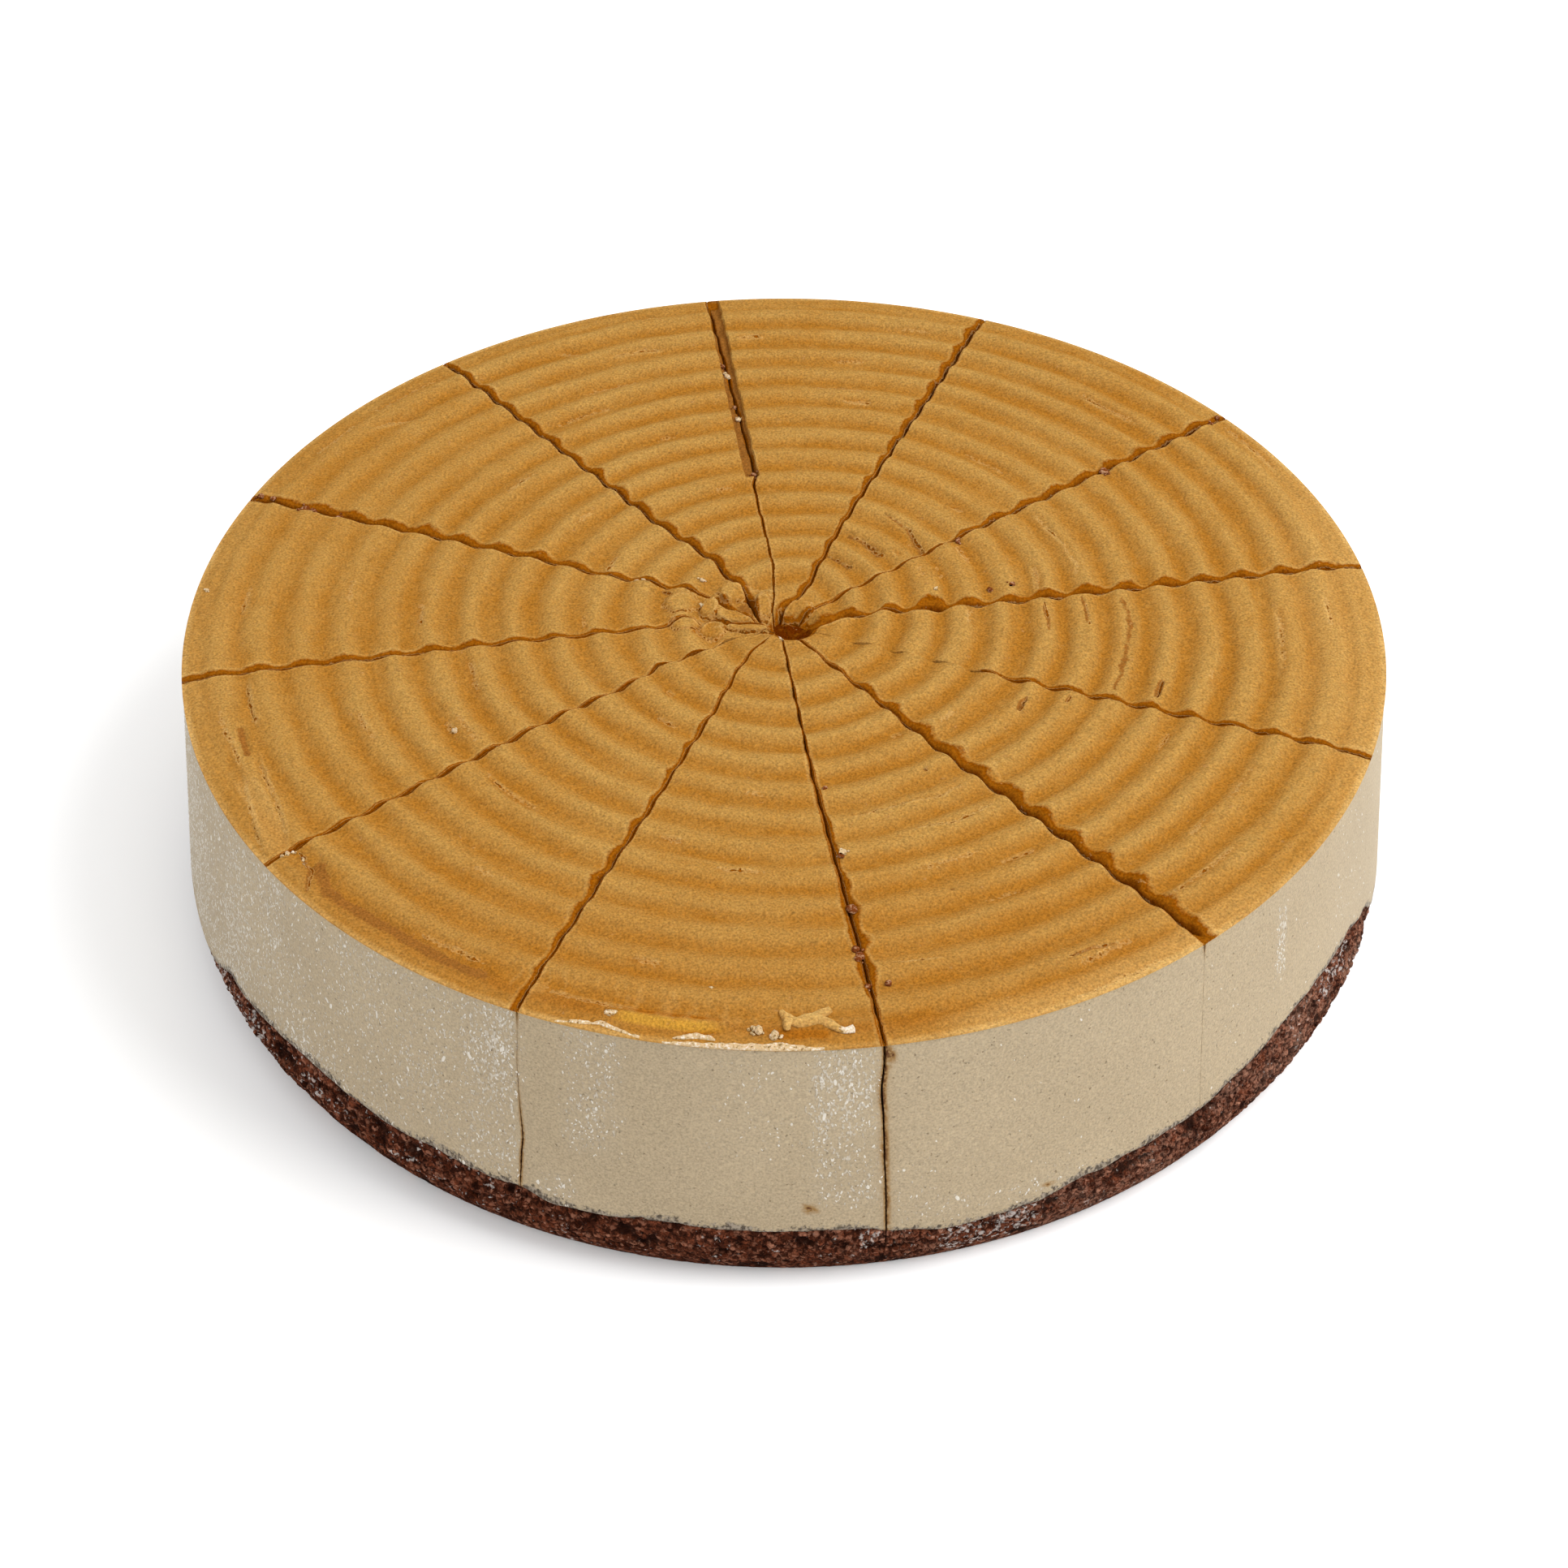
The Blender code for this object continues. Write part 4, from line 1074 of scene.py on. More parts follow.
# Where a cut shows in the side: height, and how wide it gapes there
SIDE_GAPS = {
    8: ((0, 0.05), (14, 0.12), (18, 0.22), (24, 0.28), (30, 0.24), (38, 0.12), (48, 0.07), (54, 0.05),
        (58, 0.2)),
    9: ((0, 0.05), (6, 0.15), (14, 0.35), (30, 0.34), (50, 0.4), (55, 0.6), (58, 0.4)),
    10: ((14, 0.05), (55, 0.06), (58, 0.7)),
}
SIDE_SWAYS = {              # and how far it bends aside: height, distance
    8: ((17, 0.0), (24, 0.3), (29, 0.75), (36, 0.2), (44, -0.2), (58, 0.0)),
    9: ((14, 0.6), (25, 0.4), (42, -0.1), (48, -0.5), (54, 0.1), (58, 0.0)),
}
HAIRLINE = 0.05             # the width of the other cuts in the side
# Of the five points of a level along a cut, the last three lie this far inside the rim
STATIONS_BACK = (8.0, 2.5, 1.3)
# How far each of the five has gone from the slice's inner level to the rim's
STATION_SLOPE = np.array((0, 0, 0, 0.75, 0.94))
CUT_TONE = (0.0, 0.0, 1.0, 0.5)     # the four tones of the cut faces: the mousse's take the full stain and painted shade, the sponge's full dust
# How each cut stains the side beside it and darkens it with painted shade: how wide before it and after it,
# and how strong
SIDE_STAINS_AND_SHADE = {7: (0.2, 0.2, 0.2), 8: (0.16, 0.26, 1.0), 9: (0.35, 0.5, 1.0), 10: (0.2, 0.3, 0.3)}
STAINED_GAP = 0.22          # a cut at least this wide gets the full stain and painted shade
# Brown crumbs and smears on the side: angle, height, half width and half height
SIDE_SMEARS = (
    (278.9, 55.6, 0.9, 2.6), (271.9, 20.6, 0.8, 1.2), (272.5, 20.2, 0.5, 0.9), (293.2, 16.6, 0.45, 0.5),
)
# Frost on the side: middle and half width in degrees, lowest and highest, and how dense
FROST_PATCHES = (
    (196, 24, 12, 59, 0.90), (217, 9, 14, 59, 0.70), (226, 14, 14, 58, 0.55), (230, 4, 30, 58, 0.80),
    (238, 5, 20, 59, 0.70), (244, 3.4, 16, 59, 0.80), (253.5, 2.8, 28, 59, 0.75),
    (250.4, 1.8, 14, 22, 0.80), (268, 7, 30, 57, 0.20), (275.2, 3.2, 20, 59, 0.80),
    (281, 2.0, 16, 30, 0.3), (288, 9, 14, 20, 0.5), (310, 40, 16, 57, 0.08), (320, 0.9, 34, 54, 0.85),
    (335, 6.0, 24, 57, 0.22), (60, 20, 15, 50, 0.40), (120, 14, 20, 58, 0.50), (155, 12, 15, 58, 0.35),
)
FLAKES_DRAWN = 30000        # places tried for a flake of frost; the density keeps some of them
FLAKE_SIZES = (0.11, 0.28)  # about half a flake's width
FLAKE_RISE = 0.10           # its middle stands out this far from the mousse
FLAKE_THICKNESS = 0.3       # and reaches this far back from there
# Frost on the sponge: middle and half width in degrees, lowest and highest
SPONGE_FROST = (
    (288, 5, 3, 15), (285, 1.2, 2, 9), (277, 0.8, 8, 13), (250.6, 0.4, 0, 9), (331, 4, 15, 22),
    (212, 5, 6, 14),
)
# How much pale dust lies on the sponge: angle, amount
SPONGE_DUST = (
    (0, 0.5), (30, 0.5), (170, 0.4), (200, 0.35), (235, 0.1), (265, 0.15), (282, 0.4), (300, 0.5),
    (345, 0.55), (360, 0.5),
)
CRUMB_SIZE = 1.7            # the sponge's crumbs
DEEPEST_PIT = 1.6           # how far the crumb is eaten in at most


def side_gap(cut, height):
    """How wide a cut gapes in the cake's side."""
    return table_at(SIDE_GAPS.get(cut, ((0, HAIRLINE), (58, HAIRLINE))), height)


def cut_side_angle(cut, side, height):
    """The angle at which a slice's side ends at a cut."""
    sway = table_at(SIDE_SWAYS.get(cut, ((0, 0), (58, 0))), height)
    sway = sway + 0.1 * rough(height, cut, side, 3.0, SEED + 38)
    return math.radians(CUT_ANGLES[cut][0]) + (side * side_gap(cut, height) / 2 + sway) / RIM_RADIUS


def cut_stations(cut, side):
    """The points of a slice's level along a cut: its tip, its knee, and some just inside the rim."""
    line, normals = cut_line(cut)
    rim, knee = line[-1], line[KNEE_ROW]
    stations = [CUTTER_CENTRE + unit(knee - CUTTER_CENTRE) * TIP_RADIUS, knee]
    stations += [rim + unit(knee - rim) * back for back in STATIONS_BACK]
    return np.array(stations) + side * HAIRLINE / 2 * normals[[0, KNEE_ROW, -1, -1, -1]]


def side_slice(piece, columns, tops, bottoms, steps, relief):
    """The outlines of one slice of mousse or sponge, level by level.

    tops and bottoms give the height at the tip and the knee, and then a function of the angle for
    the rim. steps are the levels' shares of the way down. relief gives the side's radius and tones.
    """
    before, after = cuts_of(piece)
    inner = (cut_stations(before, 1), cut_stations(after, -1))
    side_tone = np.tile(CUT_TONE, (len(STATION_SLOPE), 1))
    start, sweep = np.radians(slice_sweep(piece))
    shares = share_steps(columns, COLUMN_CROWDING)
    rim_top, rim_bottom = (ends[1](start + sweep * shares) for ends in (tops, bottoms))
    levels, colours = [], []
    for depth in steps:
        flat = tops[0] + (bottoms[0] - tops[0]) * depth
        heights = rim_top + (rim_bottom - rim_top) * depth
        first = cut_side_angle(before, 1, heights[0])
        last = first + (cut_side_angle(after, -1, heights[-1]) - first) % (2 * np.pi)
        angle = first + (last - first) * shares
        radius, tone = relief(piece, angle, heights)
        rim = np.column_stack((polar(radius, angle), heights))
        sides = [np.column_stack((points, flat + (outer[2] - flat) * STATION_SLOPE))
                 for points, outer in zip(inner, rim[[0, -1]])]
        levels.append(np.concatenate((sides[0], rim, sides[1][::-1])))
        colours.append(np.concatenate((side_tone, tone, side_tone)))
    return np.array(levels), np.array(colours)


def closed_faces(count, length):
    """The faces of a closed slice from its outlines: count levels of length points each."""
    index = np.arange(count * length).reshape(count, length)
    side_count = len(STATION_SLOPE) + 1
    rim_count = length - 2 * side_count
    faces = skirt_faces(index)
    faces += cap_faces(index[0].tolist(), side_count, rim_count, upward=True)
    faces += cap_faces(index[-1].tolist(), side_count, rim_count, upward=False)
    return faces


def layer_slice(kind, piece, material, *form):
    """One slice of mousse or of sponge."""
    levels, colours = side_slice(piece, *form)
    slice_object(kind, kind, piece, levels.reshape(-1, 3), closed_faces(*levels.shape[:2]), material,
                 colours.reshape(-1, 4))


def frost_density(angle, height):
    """How much frost lies on the side at a place, 0 to 1."""
    degrees = np.degrees(angle) % 360
    total = np.zeros(np.broadcast(angle, height).shape)
    for middle, half, low, high, dense in FROST_PATCHES:
        inside = smooth(half * 1.25, half * 0.6, np.abs(turned(degrees, middle)))
        inside = inside * window(height, low - 2, low + 4, high - 3, high + 2)
        total = np.maximum(total, dense * inside)
    drift = rough(angle * RIM_RADIUS, height * 0.5, 0, 8.0, SEED + 12, 3)
    return np.clip(total * (1 + 0.6 * drift), 0, 1)


def side_stain_and_shade(piece, angle, height):
    """The brown that a cut leaves in the side beside it, partly stain and partly painted shade, and the
    brown smears.
    """
    around = angle * RIM_RADIUS
    total = np.zeros(np.broadcast(angle, height).shape)
    before, after = cuts_of(piece)
    for cut, side, entry in ((before, 1, 1), (after, -1, 0)):
        if cut not in SIDE_STAINS_AND_SHADE:
            continue
        degrees = np.degrees(angle) - np.degrees(cut_side_angle(cut, side, height))
        distance = np.abs(np.radians(turned(degrees, 0))) * RIM_RADIUS
        width = SIDE_STAINS_AND_SHADE[cut][entry] * (1 + 0.5 * rough(around, height, 3.0, 5.0, SEED + 27))
        strength = SIDE_STAINS_AND_SHADE[cut][2] * np.minimum(1, side_gap(cut, height) / STAINED_GAP)
        # The stain beside the cut; its dark core is partly painted shade.
        total = np.maximum(total, strength * smooth(1.6 * width, 0.5 * width, distance))
        # A soft, wider painted shade beside the cut.
        total = np.maximum(total, 0.16 * strength * smooth(5 * width, 0, distance))
    ragged = 0.5 * rough(around, height, 6.0, 1.4, SEED + 37)
    for middle, level, half, tall in SIDE_SMEARS:
        across = np.radians(turned(np.degrees(angle), middle)) * RIM_RADIUS / half
        away = np.hypot(across, (height - level) / tall)
        total = np.maximum(total, smooth(1.3, 0.5, away + ragged))
    return total


def mousse_radius(angle, height):
    """The mousse's side: smooth, with a low wave."""
    wave = 0.05 * (1 + rough(angle * RIM_RADIUS, height, 0, 22.0, SEED + 13))
    return wall_radius(height) - SKIN - wave


def mousse_side(piece, angle, height):
    """The mousse's side and its tones: frost, smear, stain and painted shade beside the cuts, and cloud."""
    around = angle * RIM_RADIUS
    above = height - ragged_line(angle)
    smear = smooth(3.4, 0.0, above + 1.3 * rough(around, height, 0, 4.0, SEED + 14, 3))
    cloud = 0.5 + 0.5 * rough(around, height, 0, 16.0, SEED + 15, 3)
    tone = (frost_density(angle, height), smear, side_stain_and_shade(piece, angle, height), cloud)
    rounded = 0.35 * smooth(0.9, 0.0, above) ** 2
    return mousse_radius(angle, height) - rounded, np.stack(tone, axis=-1)


def sponge_side(_, angle, height):
    """The sponge's side: open crumb, eaten inwards. Its tones: painted shade in the pits and along the
    crumbs' borders, frost, dust and crumb.
    """
    around = angle * RIM_RADIUS
    border, number = cells(around, height * 1.15, CRUMB_SIZE, SEED + 16)
    coarse = rough(around, height, 0, 6.0, SEED + 17)
    pits = smooth(0.18, 0.5, rough(around, height * 1.3, 9.0, 3.6, SEED + 18))
    eaten = 0.10 + 0.5 * smooth(0.4, 0.0, border) + 0.45 * number - 0.20 * coarse + 0.9 * pits
    eaten = np.clip(eaten, 0, DEEPEST_PIT) * (0.1 + 0.9 * smooth(0, 7, height))
    frost = 0.6 * frost_density(angle, height + 8) + 0.55 * smooth(0.0, 0.6, coarse)
    degrees = np.degrees(angle) % 360
    for middle, half, low, high in SPONGE_FROST:
        inside = smooth(half * 1.3, half * 0.5, np.abs(turned(degrees, middle)))
        inside = inside * window(height, low - 1, low + 1, high - 1, high + 1)
        frost = np.maximum(frost, 1.3 * inside)
    dust = table_at(SPONGE_DUST, degrees)
    # Painted shade in the pits and along the crumbs' borders.
    dark = np.clip(pits + 0.7 * smooth(0.3, 0.0, border), 0, 1) * (1 - 0.5 * dust)
    tone = (dark, frost, dust * (1 + 0.6 * coarse), 1 - number)
    return wall_radius(height) - SKIN - eaten, np.stack(tone, axis=-1)


def mousse_slice(piece, material):
    steps = 1 - (1 - np.linspace(0, 1, MOUSSE_LEVELS + 1)) ** 1.6
    top = (MOUSSE_TOP, lambda angle: EDGE_TOP + 0 * angle)
    bottom = (SPONGE_TOP + 0.3, lambda angle: ragged_line(angle) + 0.05)
    layer_slice("mousse", piece, material, MOUSSE_COLUMNS, top, bottom, steps, mousse_side)


def sponge_slice(piece, material):
    steps = np.linspace(0, 1, SPONGE_LEVELS + 1)
    top, bottom = (SPONGE_TOP, ragged_line), (0.0, lambda angle: 0 * angle)
    layer_slice("sponge", piece, material, SPONGE_COLUMNS, top, bottom, steps, sponge_side)


def add_frost(material):
    """Thin flakes of frost on the mousse's side, most of them taller than wide."""
    draw = np.random.default_rng(SEED + 60)
    angle = draw.uniform(0, 2 * np.pi, FLAKES_DRAWN)
    height = draw.uniform(line_height(angle) + 0.8, EDGE_TOP - 0.6)
    chance = draw.random(FLAKES_DRAWN)
    size = draw.uniform(*FLAKE_SIZES, FLAKES_DRAWN) * (1 + (draw.random(FLAKES_DRAWN) > 0.97))
    tall = draw.uniform(1.0, 2.4, FLAKES_DRAWN)
    lean = draw.uniform(-0.5, 0.5, FLAKES_DRAWN)
    shapes = []
    sides = np.linspace(0, 2 * np.pi, 7)[:-1]
    ring = [(side, (side + 1) % 6) for side in range(6)]
    faces = [(6, *pair) for pair in ring] + [(7, *pair[::-1]) for pair in ring]
    for place in np.flatnonzero(chance < frost_density(angle, height) ** 1.8):
        reach = size[place] * draw.uniform(0.6, 1.2, 6)
        across, up = reach * np.cos(sides), reach * np.sin(sides) * tall[place]
        turn = angle[place] + (across + lean[place] * up) / RIM_RADIUS
        level = height[place] + up
        border = np.column_stack((polar(mousse_radius(turn, level) - 0.03, turn), level))
        middle = (angle[place], height[place])
        outer = mousse_radius(*middle) + FLAKE_RISE
        tips = [(*polar(radius, middle[0]), middle[1]) for radius in (outer, outer - FLAKE_THICKNESS)]
        shapes.append((np.concatenate((border, tips)), faces))
    points, faces = join(shapes)
    add_object("frost_flakes", points, faces, material)


# ---------------------------------------------------------------- materials

# Colours, in linear light
# The grooves' colour is partly the cream's own and partly painted shade.
CREAM_GROOVE = (0.266, 0.109, 0.0135)
CREAM_CREST = (0.316, 0.172, 0.0430)
# Darker and paler cream: partly the cream's own colours, partly painted shade and painted highlights.
CREAM_DARK = (0.235, 0.080, 0.0065)
CREAM_PALE = (0.420, 0.250, 0.080)
CREAM_GOLD = (0.440, 0.230, 0.0260)
CREAM_TORN = (0.205, 0.080, 0.0140)
# A cut's sloping edge and walls: orange, partly the cut cream's colour and partly painted shade; a painted
# glow; and deep painted shade.
EDGE_ORANGE = (0.165, 0.043, 0.0005)
EDGE_PAINTED_GLOW = (0.280, 0.100, 0.0060)
EDGE_SHADE_DEEP = (0.078, 0.014, 0.0003)
# A painted highlight on a crack's lip, and the painted shade of cracks and narrow cuts.
CRACK_LIP_HIGHLIGHT = (0.460, 0.290, 0.110)
CRACK_SHADE_ORANGE = (0.165, 0.043, 0.0006)
CRACK_SHADE_DEEP = (0.105, 0.025, 0.0005)
FLAKE_PALE = (0.440, 0.310, 0.170)
FLAKE_WHITE = (0.600, 0.520, 0.420)
CREAM_GLOW = (1.0, 0.45, 0.15)      # how far red, green and blue light spread inside it
MOUSSE_DIM = (0.290, 0.227, 0.143)
MOUSSE_LIGHT = (0.328, 0.259, 0.166)
# Painted shade in the pores.
MOUSSE_PORE_SHADE = (0.130, 0.092, 0.048)
MOUSSE_FROST = (0.470, 0.430, 0.370)
GRIME_DARK = (0.040, 0.029, 0.022)
GRIME_LIGHT = (0.230, 0.190, 0.145)
# An ochre stain, and its dark core, which is partly painted shade.
STAIN_LIGHT = (0.215, 0.120, 0.0400)
STAIN_AND_SHADE_DARK = (0.060, 0.018, 0.0035)
MOUSSE_GLOW = (1.0, 0.7, 0.45)
FROST_DIM = (0.42, 0.375, 0.305)
FROST_BRIGHT = (0.60, 0.560, 0.500)
CRUMB_BROWN = (0.120, 0.030, 0.0060)
CRUMB_PALE = (0.360, 0.200, 0.110)
SPONGE_DARK = (0.036, 0.0080, 0.0030)
SPONGE_BROWN = (0.120, 0.0330, 0.0150)
# Paler crumbs, partly their own colour and partly a painted highlight.
SPONGE_CRUMB_HIGHLIGHT = (0.290, 0.130, 0.080)
SPONGE_DUSTY = (0.290, 0.160, 0.110)
# Painted shade in the pits and between the crumbs.
SPONGE_PIT_SHADE = (0.0040, 0.0014, 0.0010)
SPONGE_WHITE = (0.44, 0.390, 0.360)
FLOOR_SHADE = (0.90, 0.90, 0.90)
FLOOR_WHITE = (0.91, 0.91, 0.91)


class Paint:
    """A material under construction: its nodes, and how they are joined.

    Inputs are numbers, colours or the sockets of other nodes. Sizes are in millimetres.
    """

    def __init__(self, name, roughness, gloss):
        self.material = bpy.data.materials.new(name)
        self.material.use_nodes = True
        self.tree = self.material.node_tree
        self.shader = self.tree.nodes["Principled BSDF"]
        self.shader.inputs["Roughness"].default_value = roughness
        self.shader.inputs["Specular IOR Level"].default_value = gloss
        self.place = self.node("ShaderNodeTexCoord").outputs["Object"]

    def node(self, kind, settings=None, inputs=None):
        """A node; inputs maps an input's name or number to what it takes."""
        node = self.tree.nodes.new(kind)
        for key, value in (settings or {}).items():
            setattr(node, key, value)
        for key, value in (inputs or {}).items():
            if isinstance(value, bpy.types.NodeSocket):
                self.tree.links.new(value, node.inputs[key])
            else:
                node.inputs[key].default_value = value
        return node

    def maths(self, operation, *values, clamp=False):
        settings = {"operation": operation, "use_clamp": clamp}
        return self.node("ShaderNodeMath", settings, dict(enumerate(values))).outputs[0]

    def times(self, first, second, clamp=False):
        return self.maths("MULTIPLY", first, second, clamp=clamp)

    def vector(self, operation, *values):
        node = self.node("ShaderNodeVectorMath", {"operation": operation}, dict(enumerate(values)))
        return node.outputs[0]

    def blend(self, share, first, second, mode="MIX"):
        """Mix two colours."""
        inputs = {0: share}
        for number, value in ((6, first), (7, second)):
            inputs[number] = (*value, 1.0) if isinstance(value, tuple) else value
        node = self.node("ShaderNodeMix", {"data_type": "RGBA", "blend_type": mode}, inputs)
        return node.outputs[2]

    def coats(self, colour, *coats):
        """One colour over another, each by its own share."""
        for share, coat in coats:
            colour = self.blend(share, colour, coat)
        return colour

    def step(self, value, low, high):
        """0 below low, 1 above high."""
        return self.node("ShaderNodeMapRange", {"clamp": True}, {0: value, 1: low, 2: high}).outputs[0]

    def grain(self, size, detail=2.0, seed=0.0, place=None):
        """Noise whose lumps are about size across."""
        moved = self.vector("ADD", place or self.place, (seed, seed * 0.7, seed * 1.3))
        inputs = {"Vector": moved, "Scale": 1 / (size * MM), "Detail": detail, "Roughness": 0.6}
        return self.node("ShaderNodeTexNoise", {"noise_dimensions": "3D"}, inputs).outputs["Fac"]

    def crumbs(self, size, stray):
        """Cells about size across, moved aside by up to stray: the distance to a cell's middle,
        and the cell's own number."""
        inputs = {"Vector": self.place, "Scale": 1 / (stray * MM), "Detail": 2.0}
        noise = self.node("ShaderNodeTexNoise", inputs=inputs).outputs["Color"]
        aside = self.vector("SUBTRACT", noise, (0.5, 0.5, 0.5))
        moved = self.vector("MULTIPLY_ADD", aside, (2 * stray * MM,) * 3, self.place)
        node = self.node("ShaderNodeTexVoronoi", inputs={"Vector": moved, "Scale": 1 / (size * MM)})
        number = self.node("ShaderNodeSeparateColor", inputs={0: node.outputs["Color"]}).outputs[0]
        return node.outputs["Distance"], number

    def speckle(self, colour, noise, amount):
        """Make a colour lighter and darker by up to a share, with noise that runs round 0.5."""
        share = self.maths("MULTIPLY_ADD", noise, 2 * amount, 1 - amount)
        return self.blend(1.0, colour, share, "MULTIPLY")

    def roughened(self, value, noises, amount, clamp=False):
        """A painted value made uneven by noises that run round 0.5."""
        for noise in noises:
            aside = self.maths("SUBTRACT", noise, 0.5)
            value = self.maths("MULTIPLY_ADD", aside, amount, value, clamp=clamp)
        return value

    def tones(self, name="tone"):
        """The four painted values of a mesh."""
        attribute = self.node("ShaderNodeAttribute", {"attribute_name": name})
        split = self.node("ShaderNodeSeparateColor", inputs={0: attribute.outputs["Color"]})
        return [*split.outputs, attribute.outputs["Alpha"]]

    def bump(self, *layers):
        """Bumps from (height, depth in mm), one on top of another."""
        below = {}
        for height, depth in layers:
            inputs = {"Height": height, "Distance": depth * MM, "Strength": 1.0, **below}
            below = {"Normal": self.node("ShaderNodeBump", inputs=inputs).outputs[0]}
        self.tree.links.new(below["Normal"], self.shader.inputs["Normal"])

    def soften(self, weight, spread, scale):
        """Let some light in under the surface."""
        self.shader.inputs["Subsurface Weight"].default_value = weight
        self.shader.inputs["Subsurface Radius"].default_value = spread
        self.shader.inputs["Subsurface Scale"].default_value = scale * MM

    def finish(self, colour):
        self.tree.links.new(colour, self.shader.inputs["Base Color"])
        return self.material


def cream_material():
    """Chestnut cream: yellow-brown crests, redder grooves that hold painted shade too, orange to brown
    where it is cut or torn, with painted shade in the cuts and cracks and painted highlights beside them.
    """
    paint = Paint("chestnut_cream", 0.5, 0.0)
    crest, dark, pale, brown = paint.tones()
    crack, slope, flake, gold = paint.tones("torn")
    cloud = paint.grain(14.0, 3.0)
    spots = paint.grain(2.4, 3.0, 1.0)
    small = paint.grain(0.9, 2.0, 4.0)
    fine = paint.grain(0.45, 1.0, 2.0)
    lifted = paint.roughened(paint.roughened(crest, (spots,), 0.7), (cloud,), 0.7, clamp=True)
    torn = paint.step(paint.roughened(brown, (spots, small), 0.5), 0.32, 0.5)
    edge = paint.roughened(slope, (spots, small), 0.55)
    split = paint.roughened(crack, (spots, small), 0.75)
    # A painted highlight along the edges of the cracks.
    lip = paint.times(paint.step(split, 0.20, 0.28), paint.step(split, 0.42, 0.34))
    opened = paint.step(split, 0.42, 0.50)
    chips = paint.roughened(flake, (small, fine), 0.8)
    white = paint.step(chips, 0.45, 0.6)
    colour = paint.coats(
        paint.blend(lifted, CREAM_GROOVE, CREAM_CREST),
        # Darker cream with painted shade, and paler cream with painted highlights.
        (paint.step(dark, 0.0, 0.7), CREAM_DARK),
        (paint.step(pale, 0.05, 0.62), CREAM_PALE),
        (paint.times(gold, 1.2, clamp=True), CREAM_GOLD),
        (torn, CREAM_TORN),
        # The sloping edges and cut walls: orange, a painted glow, and deep painted shade.
        (paint.step(edge, 0.08, 0.36), EDGE_ORANGE),
        (paint.times(paint.step(edge, 0.34, 0.58), 0.45), EDGE_PAINTED_GLOW),
        (paint.step(edge, 0.55, 1.0), EDGE_SHADE_DEEP),
        # A painted highlight beside the cracks, then their painted shade.
        (paint.times(lip, 0.3), CRACK_LIP_HIGHLIGHT),
        (paint.times(opened, 0.9), CRACK_SHADE_ORANGE),
        (paint.step(split, 0.70, 1.0), CRACK_SHADE_DEEP),
    )
    colour = paint.speckle(paint.speckle(colour, small, 0.12), fine, 0.66)
    colour = paint.coats(colour, (white, FLAKE_PALE), (paint.step(chips, 0.75, 0.95), FLAKE_WHITE))
    paint.soften(0.12, CREAM_GLOW, 1.0)
    relief = paint.maths("SUBTRACT", white, opened)
    paint.bump((spots, 0.12), (small, 0.07), (fine, 0.08), (relief, 0.22))
    return paint.finish(colour)


def mousse_material():
    """Pale beige mousse: fine pores with painted shade in them, white frost, stain and painted shade beside
    the cuts, and brown above the sponge.
    """
    paint = Paint("mousse", 0.55, 0.1)
    frost, smear, stain, cloud = paint.tones()
    fine = paint.grain(0.45, 1.0, 1.0)
    pores = paint.grain(0.9, 1.0, 2.0)
    squeezed = paint.vector("MULTIPLY", paint.place, (1.0, 1.0, 0.55))
    flecks = paint.grain(0.6, 1.0, 3.0, squeezed)
    dirt = paint.grain(0.9, 3.0, 4.0)
    holes = paint.step(pores, 0.72, 0.77)
    bound = paint.maths("MULTIPLY_ADD", frost, -0.25, 0.74)
    icy = paint.times(paint.maths("SUBTRACT", flecks, bound), 8.0, clamp=True)
    icy = paint.times(icy, paint.step(frost, 0.02, 0.2))
    white = paint.maths("MAXIMUM", paint.times(frost, 0.06), paint.times(icy, 0.6))
    smudge = paint.step(paint.maths("MULTIPLY_ADD", smear, 0.46, dirt), 0.72, 0.86)
    grime = paint.blend(paint.step(flecks, 0.42, 0.6), GRIME_DARK, GRIME_LIGHT)
    brown = paint.times(stain, paint.step(dirt, 0.15, 0.55), clamp=True)
    colour = paint.coats(
        paint.speckle(paint.blend(cloud, MOUSSE_DIM, MOUSSE_LIGHT), fine, 0.42),
        # Painted shade in the pores.
        (paint.times(holes, 0.6), MOUSSE_PORE_SHADE),
        (white, MOUSSE_FROST),
        (paint.times(smudge, 0.9), grime),
        # The stain beside the cuts, and its dark core that is partly painted shade.
        (paint.step(brown, 0.0, 0.7), STAIN_LIGHT),
        (paint.step(brown, 0.7, 1.0), STAIN_AND_SHADE_DARK),
    )
    paint.soften(0.15, MOUSSE_GLOW, 1.5)
    paint.bump((fine, 0.06), (paint.maths("SUBTRACT", icy, holes), 0.12))
    return paint.finish(colour)


def frost_material():
    """White frost."""
    paint = Paint("frost", 0.6, 0.1)
    return paint.finish(paint.blend(paint.grain(0.6), FROST_DIM, FROST_BRIGHT))


def crumb_material():
    """Crumbs of sponge that lie on the cream, reddish brown with paler bits."""
    paint = Paint("sponge_crumbs", 0.8, 0.0)
    return paint.finish(paint.blend(paint.step(paint.grain(0.7), 0.48, 0.66), CRUMB_BROWN, CRUMB_PALE))


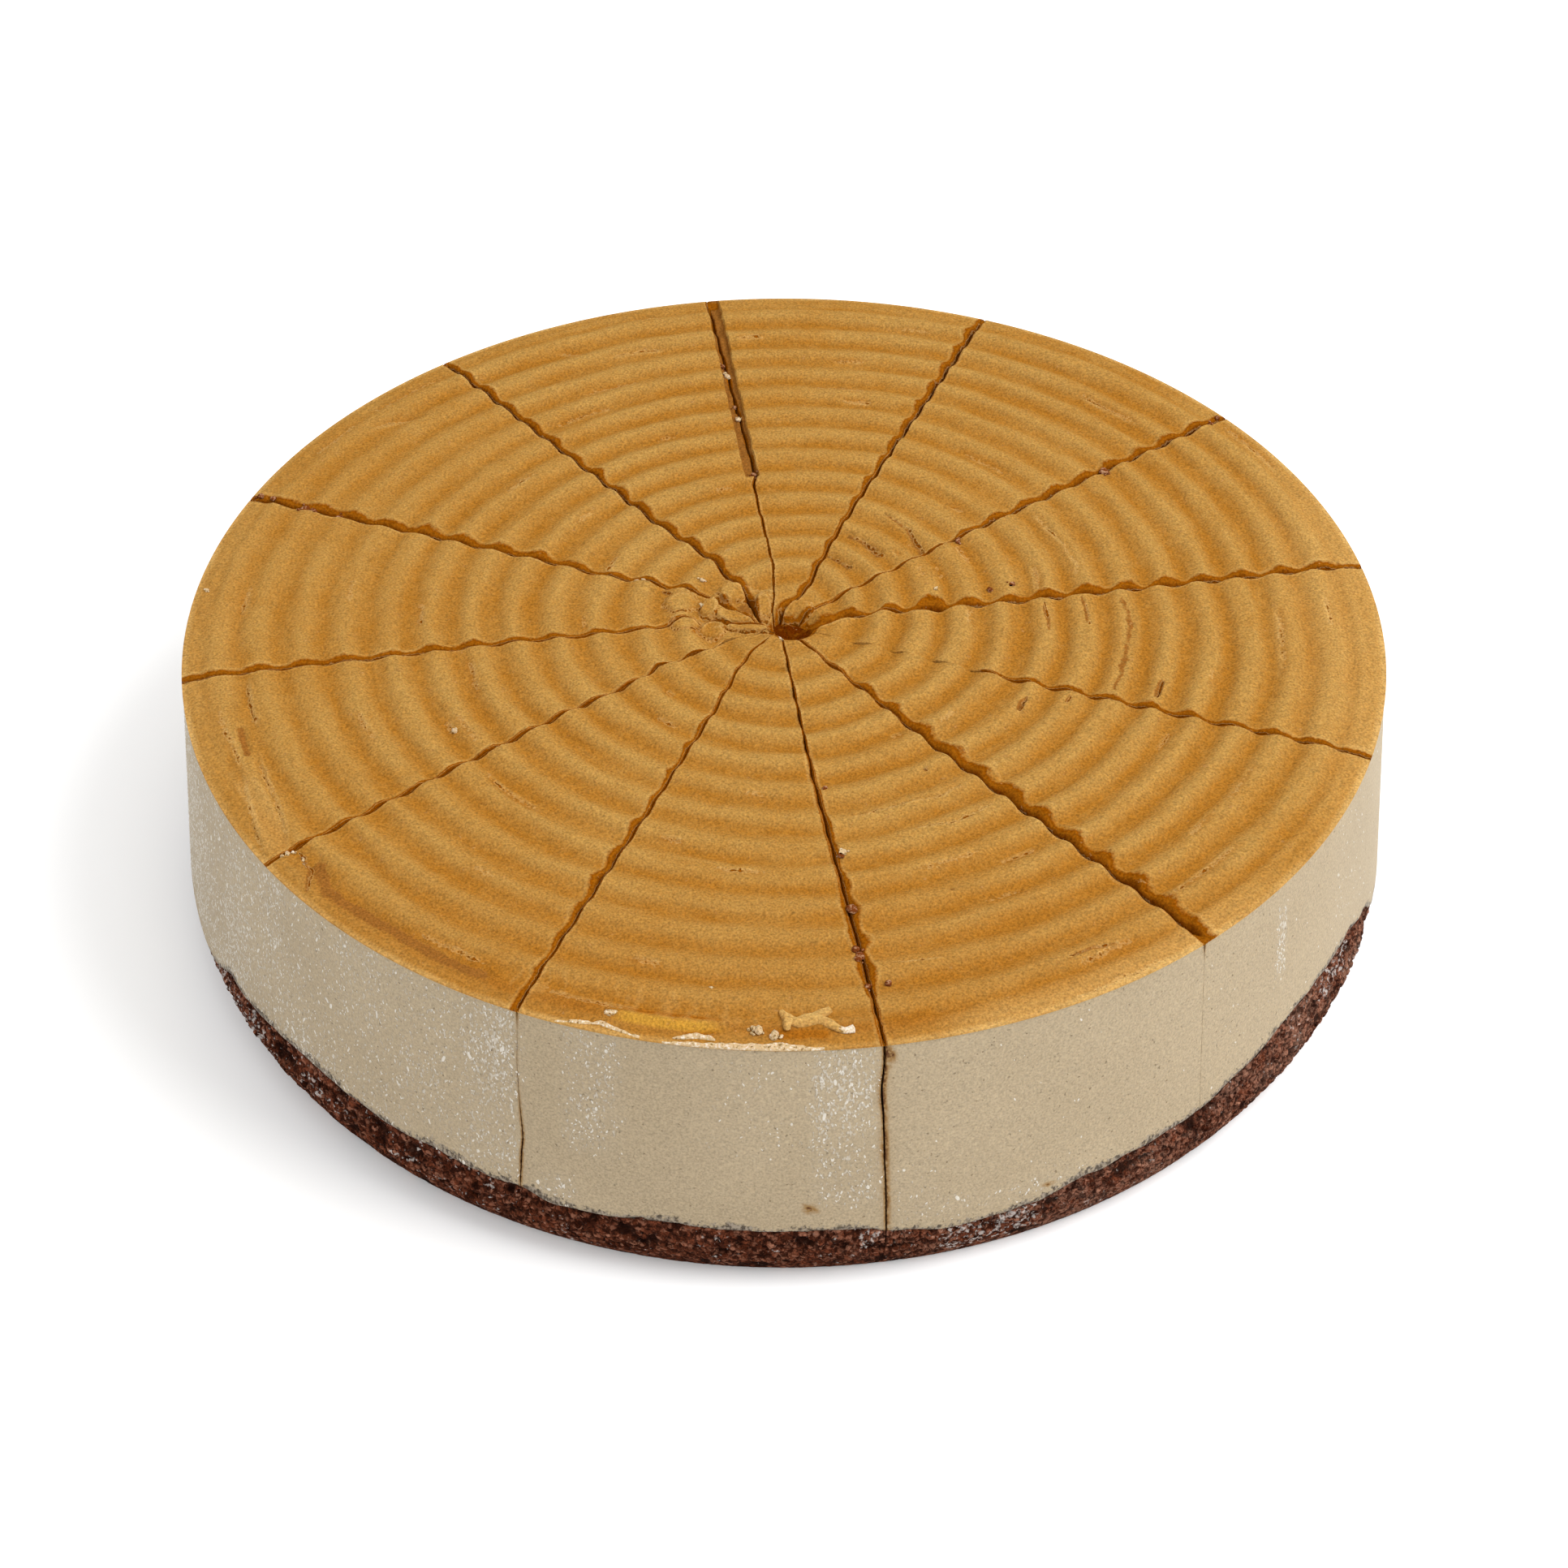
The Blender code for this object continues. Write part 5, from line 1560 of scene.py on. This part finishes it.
def sponge_material():
    """Dark chocolate sponge: crumbs of several browns, paler ones with a painted highlight, black painted
    shade in the pits and between the crumbs, and a little frost.
    """
    paint = Paint("chocolate_sponge", 0.9, 0.02)
    pit, frost, dust, crumb = paint.tones()
    distance, number = paint.crumbs(1.2, 1.1)
    coarse = paint.grain(3.0, 3.0)
    fine = paint.grain(0.5, 1.0, 1.0)
    bits = paint.grain(1.2, 2.0, 2.0)
    # The paler crumbs: partly their own colour, partly a painted highlight.
    light = paint.times(paint.step(number, 0.4, 1.0), paint.step(distance, 0.65, 0.3))
    light = paint.times(light, paint.maths("MULTIPLY_ADD", crumb, 0.6, 0.4))
    dusty = paint.step(paint.roughened(dust, (fine, bits), 1.0), 0.35, 1.0)
    # Black painted shade between the crumbs and in the pits.
    gap_shade = paint.times(paint.step(distance, 0.45, 0.7), 0.8)
    black = paint.step(paint.roughened(pit, (bits, fine), 1.2), 0.35, 0.75)
    bound = paint.maths("MULTIPLY_ADD", frost, -0.17, 0.70)
    icy = paint.times(paint.maths("SUBTRACT", bits, bound), 9.0, clamp=True)
    base = paint.blend(paint.step(coarse, 0.38, 0.62), SPONGE_DARK, SPONGE_BROWN)
    colour = paint.coats(
        paint.speckle(base, fine, 1.3),
        (light, SPONGE_CRUMB_HIGHLIGHT),
        (paint.times(dusty, 0.75), SPONGE_DUSTY),
        (paint.times(paint.maths("MAXIMUM", black, gap_shade), 0.88), SPONGE_PIT_SHADE),
        (paint.times(icy, 0.8), SPONGE_WHITE),
    )
    paint.bump((coarse, 0.5), (fine, 0.45))
    return paint.finish(colour)


def floor_material():
    """A plain white studio floor."""
    paint = Paint("studio_floor", 0.9, 0.1)
    return paint.finish(paint.blend(paint.grain(400.0), FLOOR_SHADE, FLOOR_WHITE))


# ---------------------------------------------------------------- floor, lights and camera

FLOOR_HALF = 4.0            # metres
FLOOR_DROP = -0.0002
SKY_STRENGTH = 1.06
LIGHTS = (                  # place (metres), size, power
    ("key", (1.3, -0.25, 1.5), 1.4, 36.0),
    ("fill", (-0.6, -1.4, 1.6), 1.6, 7.5),
)
CAMERA_PLACE = (0.0, -0.5234, 0.46885)
CAMERA_TILT = 49.104        # degrees from straight down
CAMERA_LENS = 75.86
CAMERA_SENSOR = 36.0


def add_stage():
    """The floor, soft light from all round, and soft lights from the right and the front."""
    mesh = bpy.data.meshes.new("studio_floor")
    bm = bmesh.new()
    bmesh.ops.create_grid(bm, x_segments=8, y_segments=8, size=FLOOR_HALF)
    bm.to_mesh(mesh)
    bm.free()
    mesh.materials.append(floor_material())
    floor = bpy.data.objects.new("studio_floor", mesh)
    bpy.context.scene.collection.objects.link(floor)
    floor.location.z = FLOOR_DROP

    world = bpy.data.worlds.new("studio")
    world.use_nodes = True
    world.node_tree.nodes["Background"].inputs["Color"].default_value = (1.0, 1.0, 1.0, 1.0)
    world.node_tree.nodes["Background"].inputs["Strength"].default_value = SKY_STRENGTH
    bpy.context.scene.world = world

    for name, place, size, power in LIGHTS:
        light = bpy.data.lights.new(name, "AREA")
        light.shape = "DISK"
        light.size = size
        light.energy = power
        lamp = bpy.data.objects.new(name, light)
        bpy.context.scene.collection.objects.link(lamp)
        lamp.location = place
        lamp.rotation_euler = (-lamp.location).to_track_quat("-Z", "Y").to_euler()


def add_camera():
    camera = bpy.data.cameras.new("camera")
    camera.sensor_width = CAMERA_SENSOR
    camera.lens = CAMERA_LENS
    holder = bpy.data.objects.new("camera", camera)
    bpy.context.scene.collection.objects.link(holder)
    holder.location = CAMERA_PLACE
    holder.rotation_euler = (math.radians(CAMERA_TILT), 0.0, 0.0)
    bpy.context.scene.camera = holder


def main():
    bpy.context.scene.view_settings.view_transform = "Standard"
    cream, mousse, sponge = cream_material(), mousse_material(), sponge_material()
    tops = [cream_top(piece) for piece in range(SLICES)]
    for piece, top in enumerate(tops):
        cream_slice(piece, top, cream)
        mousse_slice(piece, mousse)
        sponge_slice(piece, sponge)
    add_bits(tops, cream, crumb_material())
    add_frost(frost_material())
    add_stage()
    add_camera()


main()
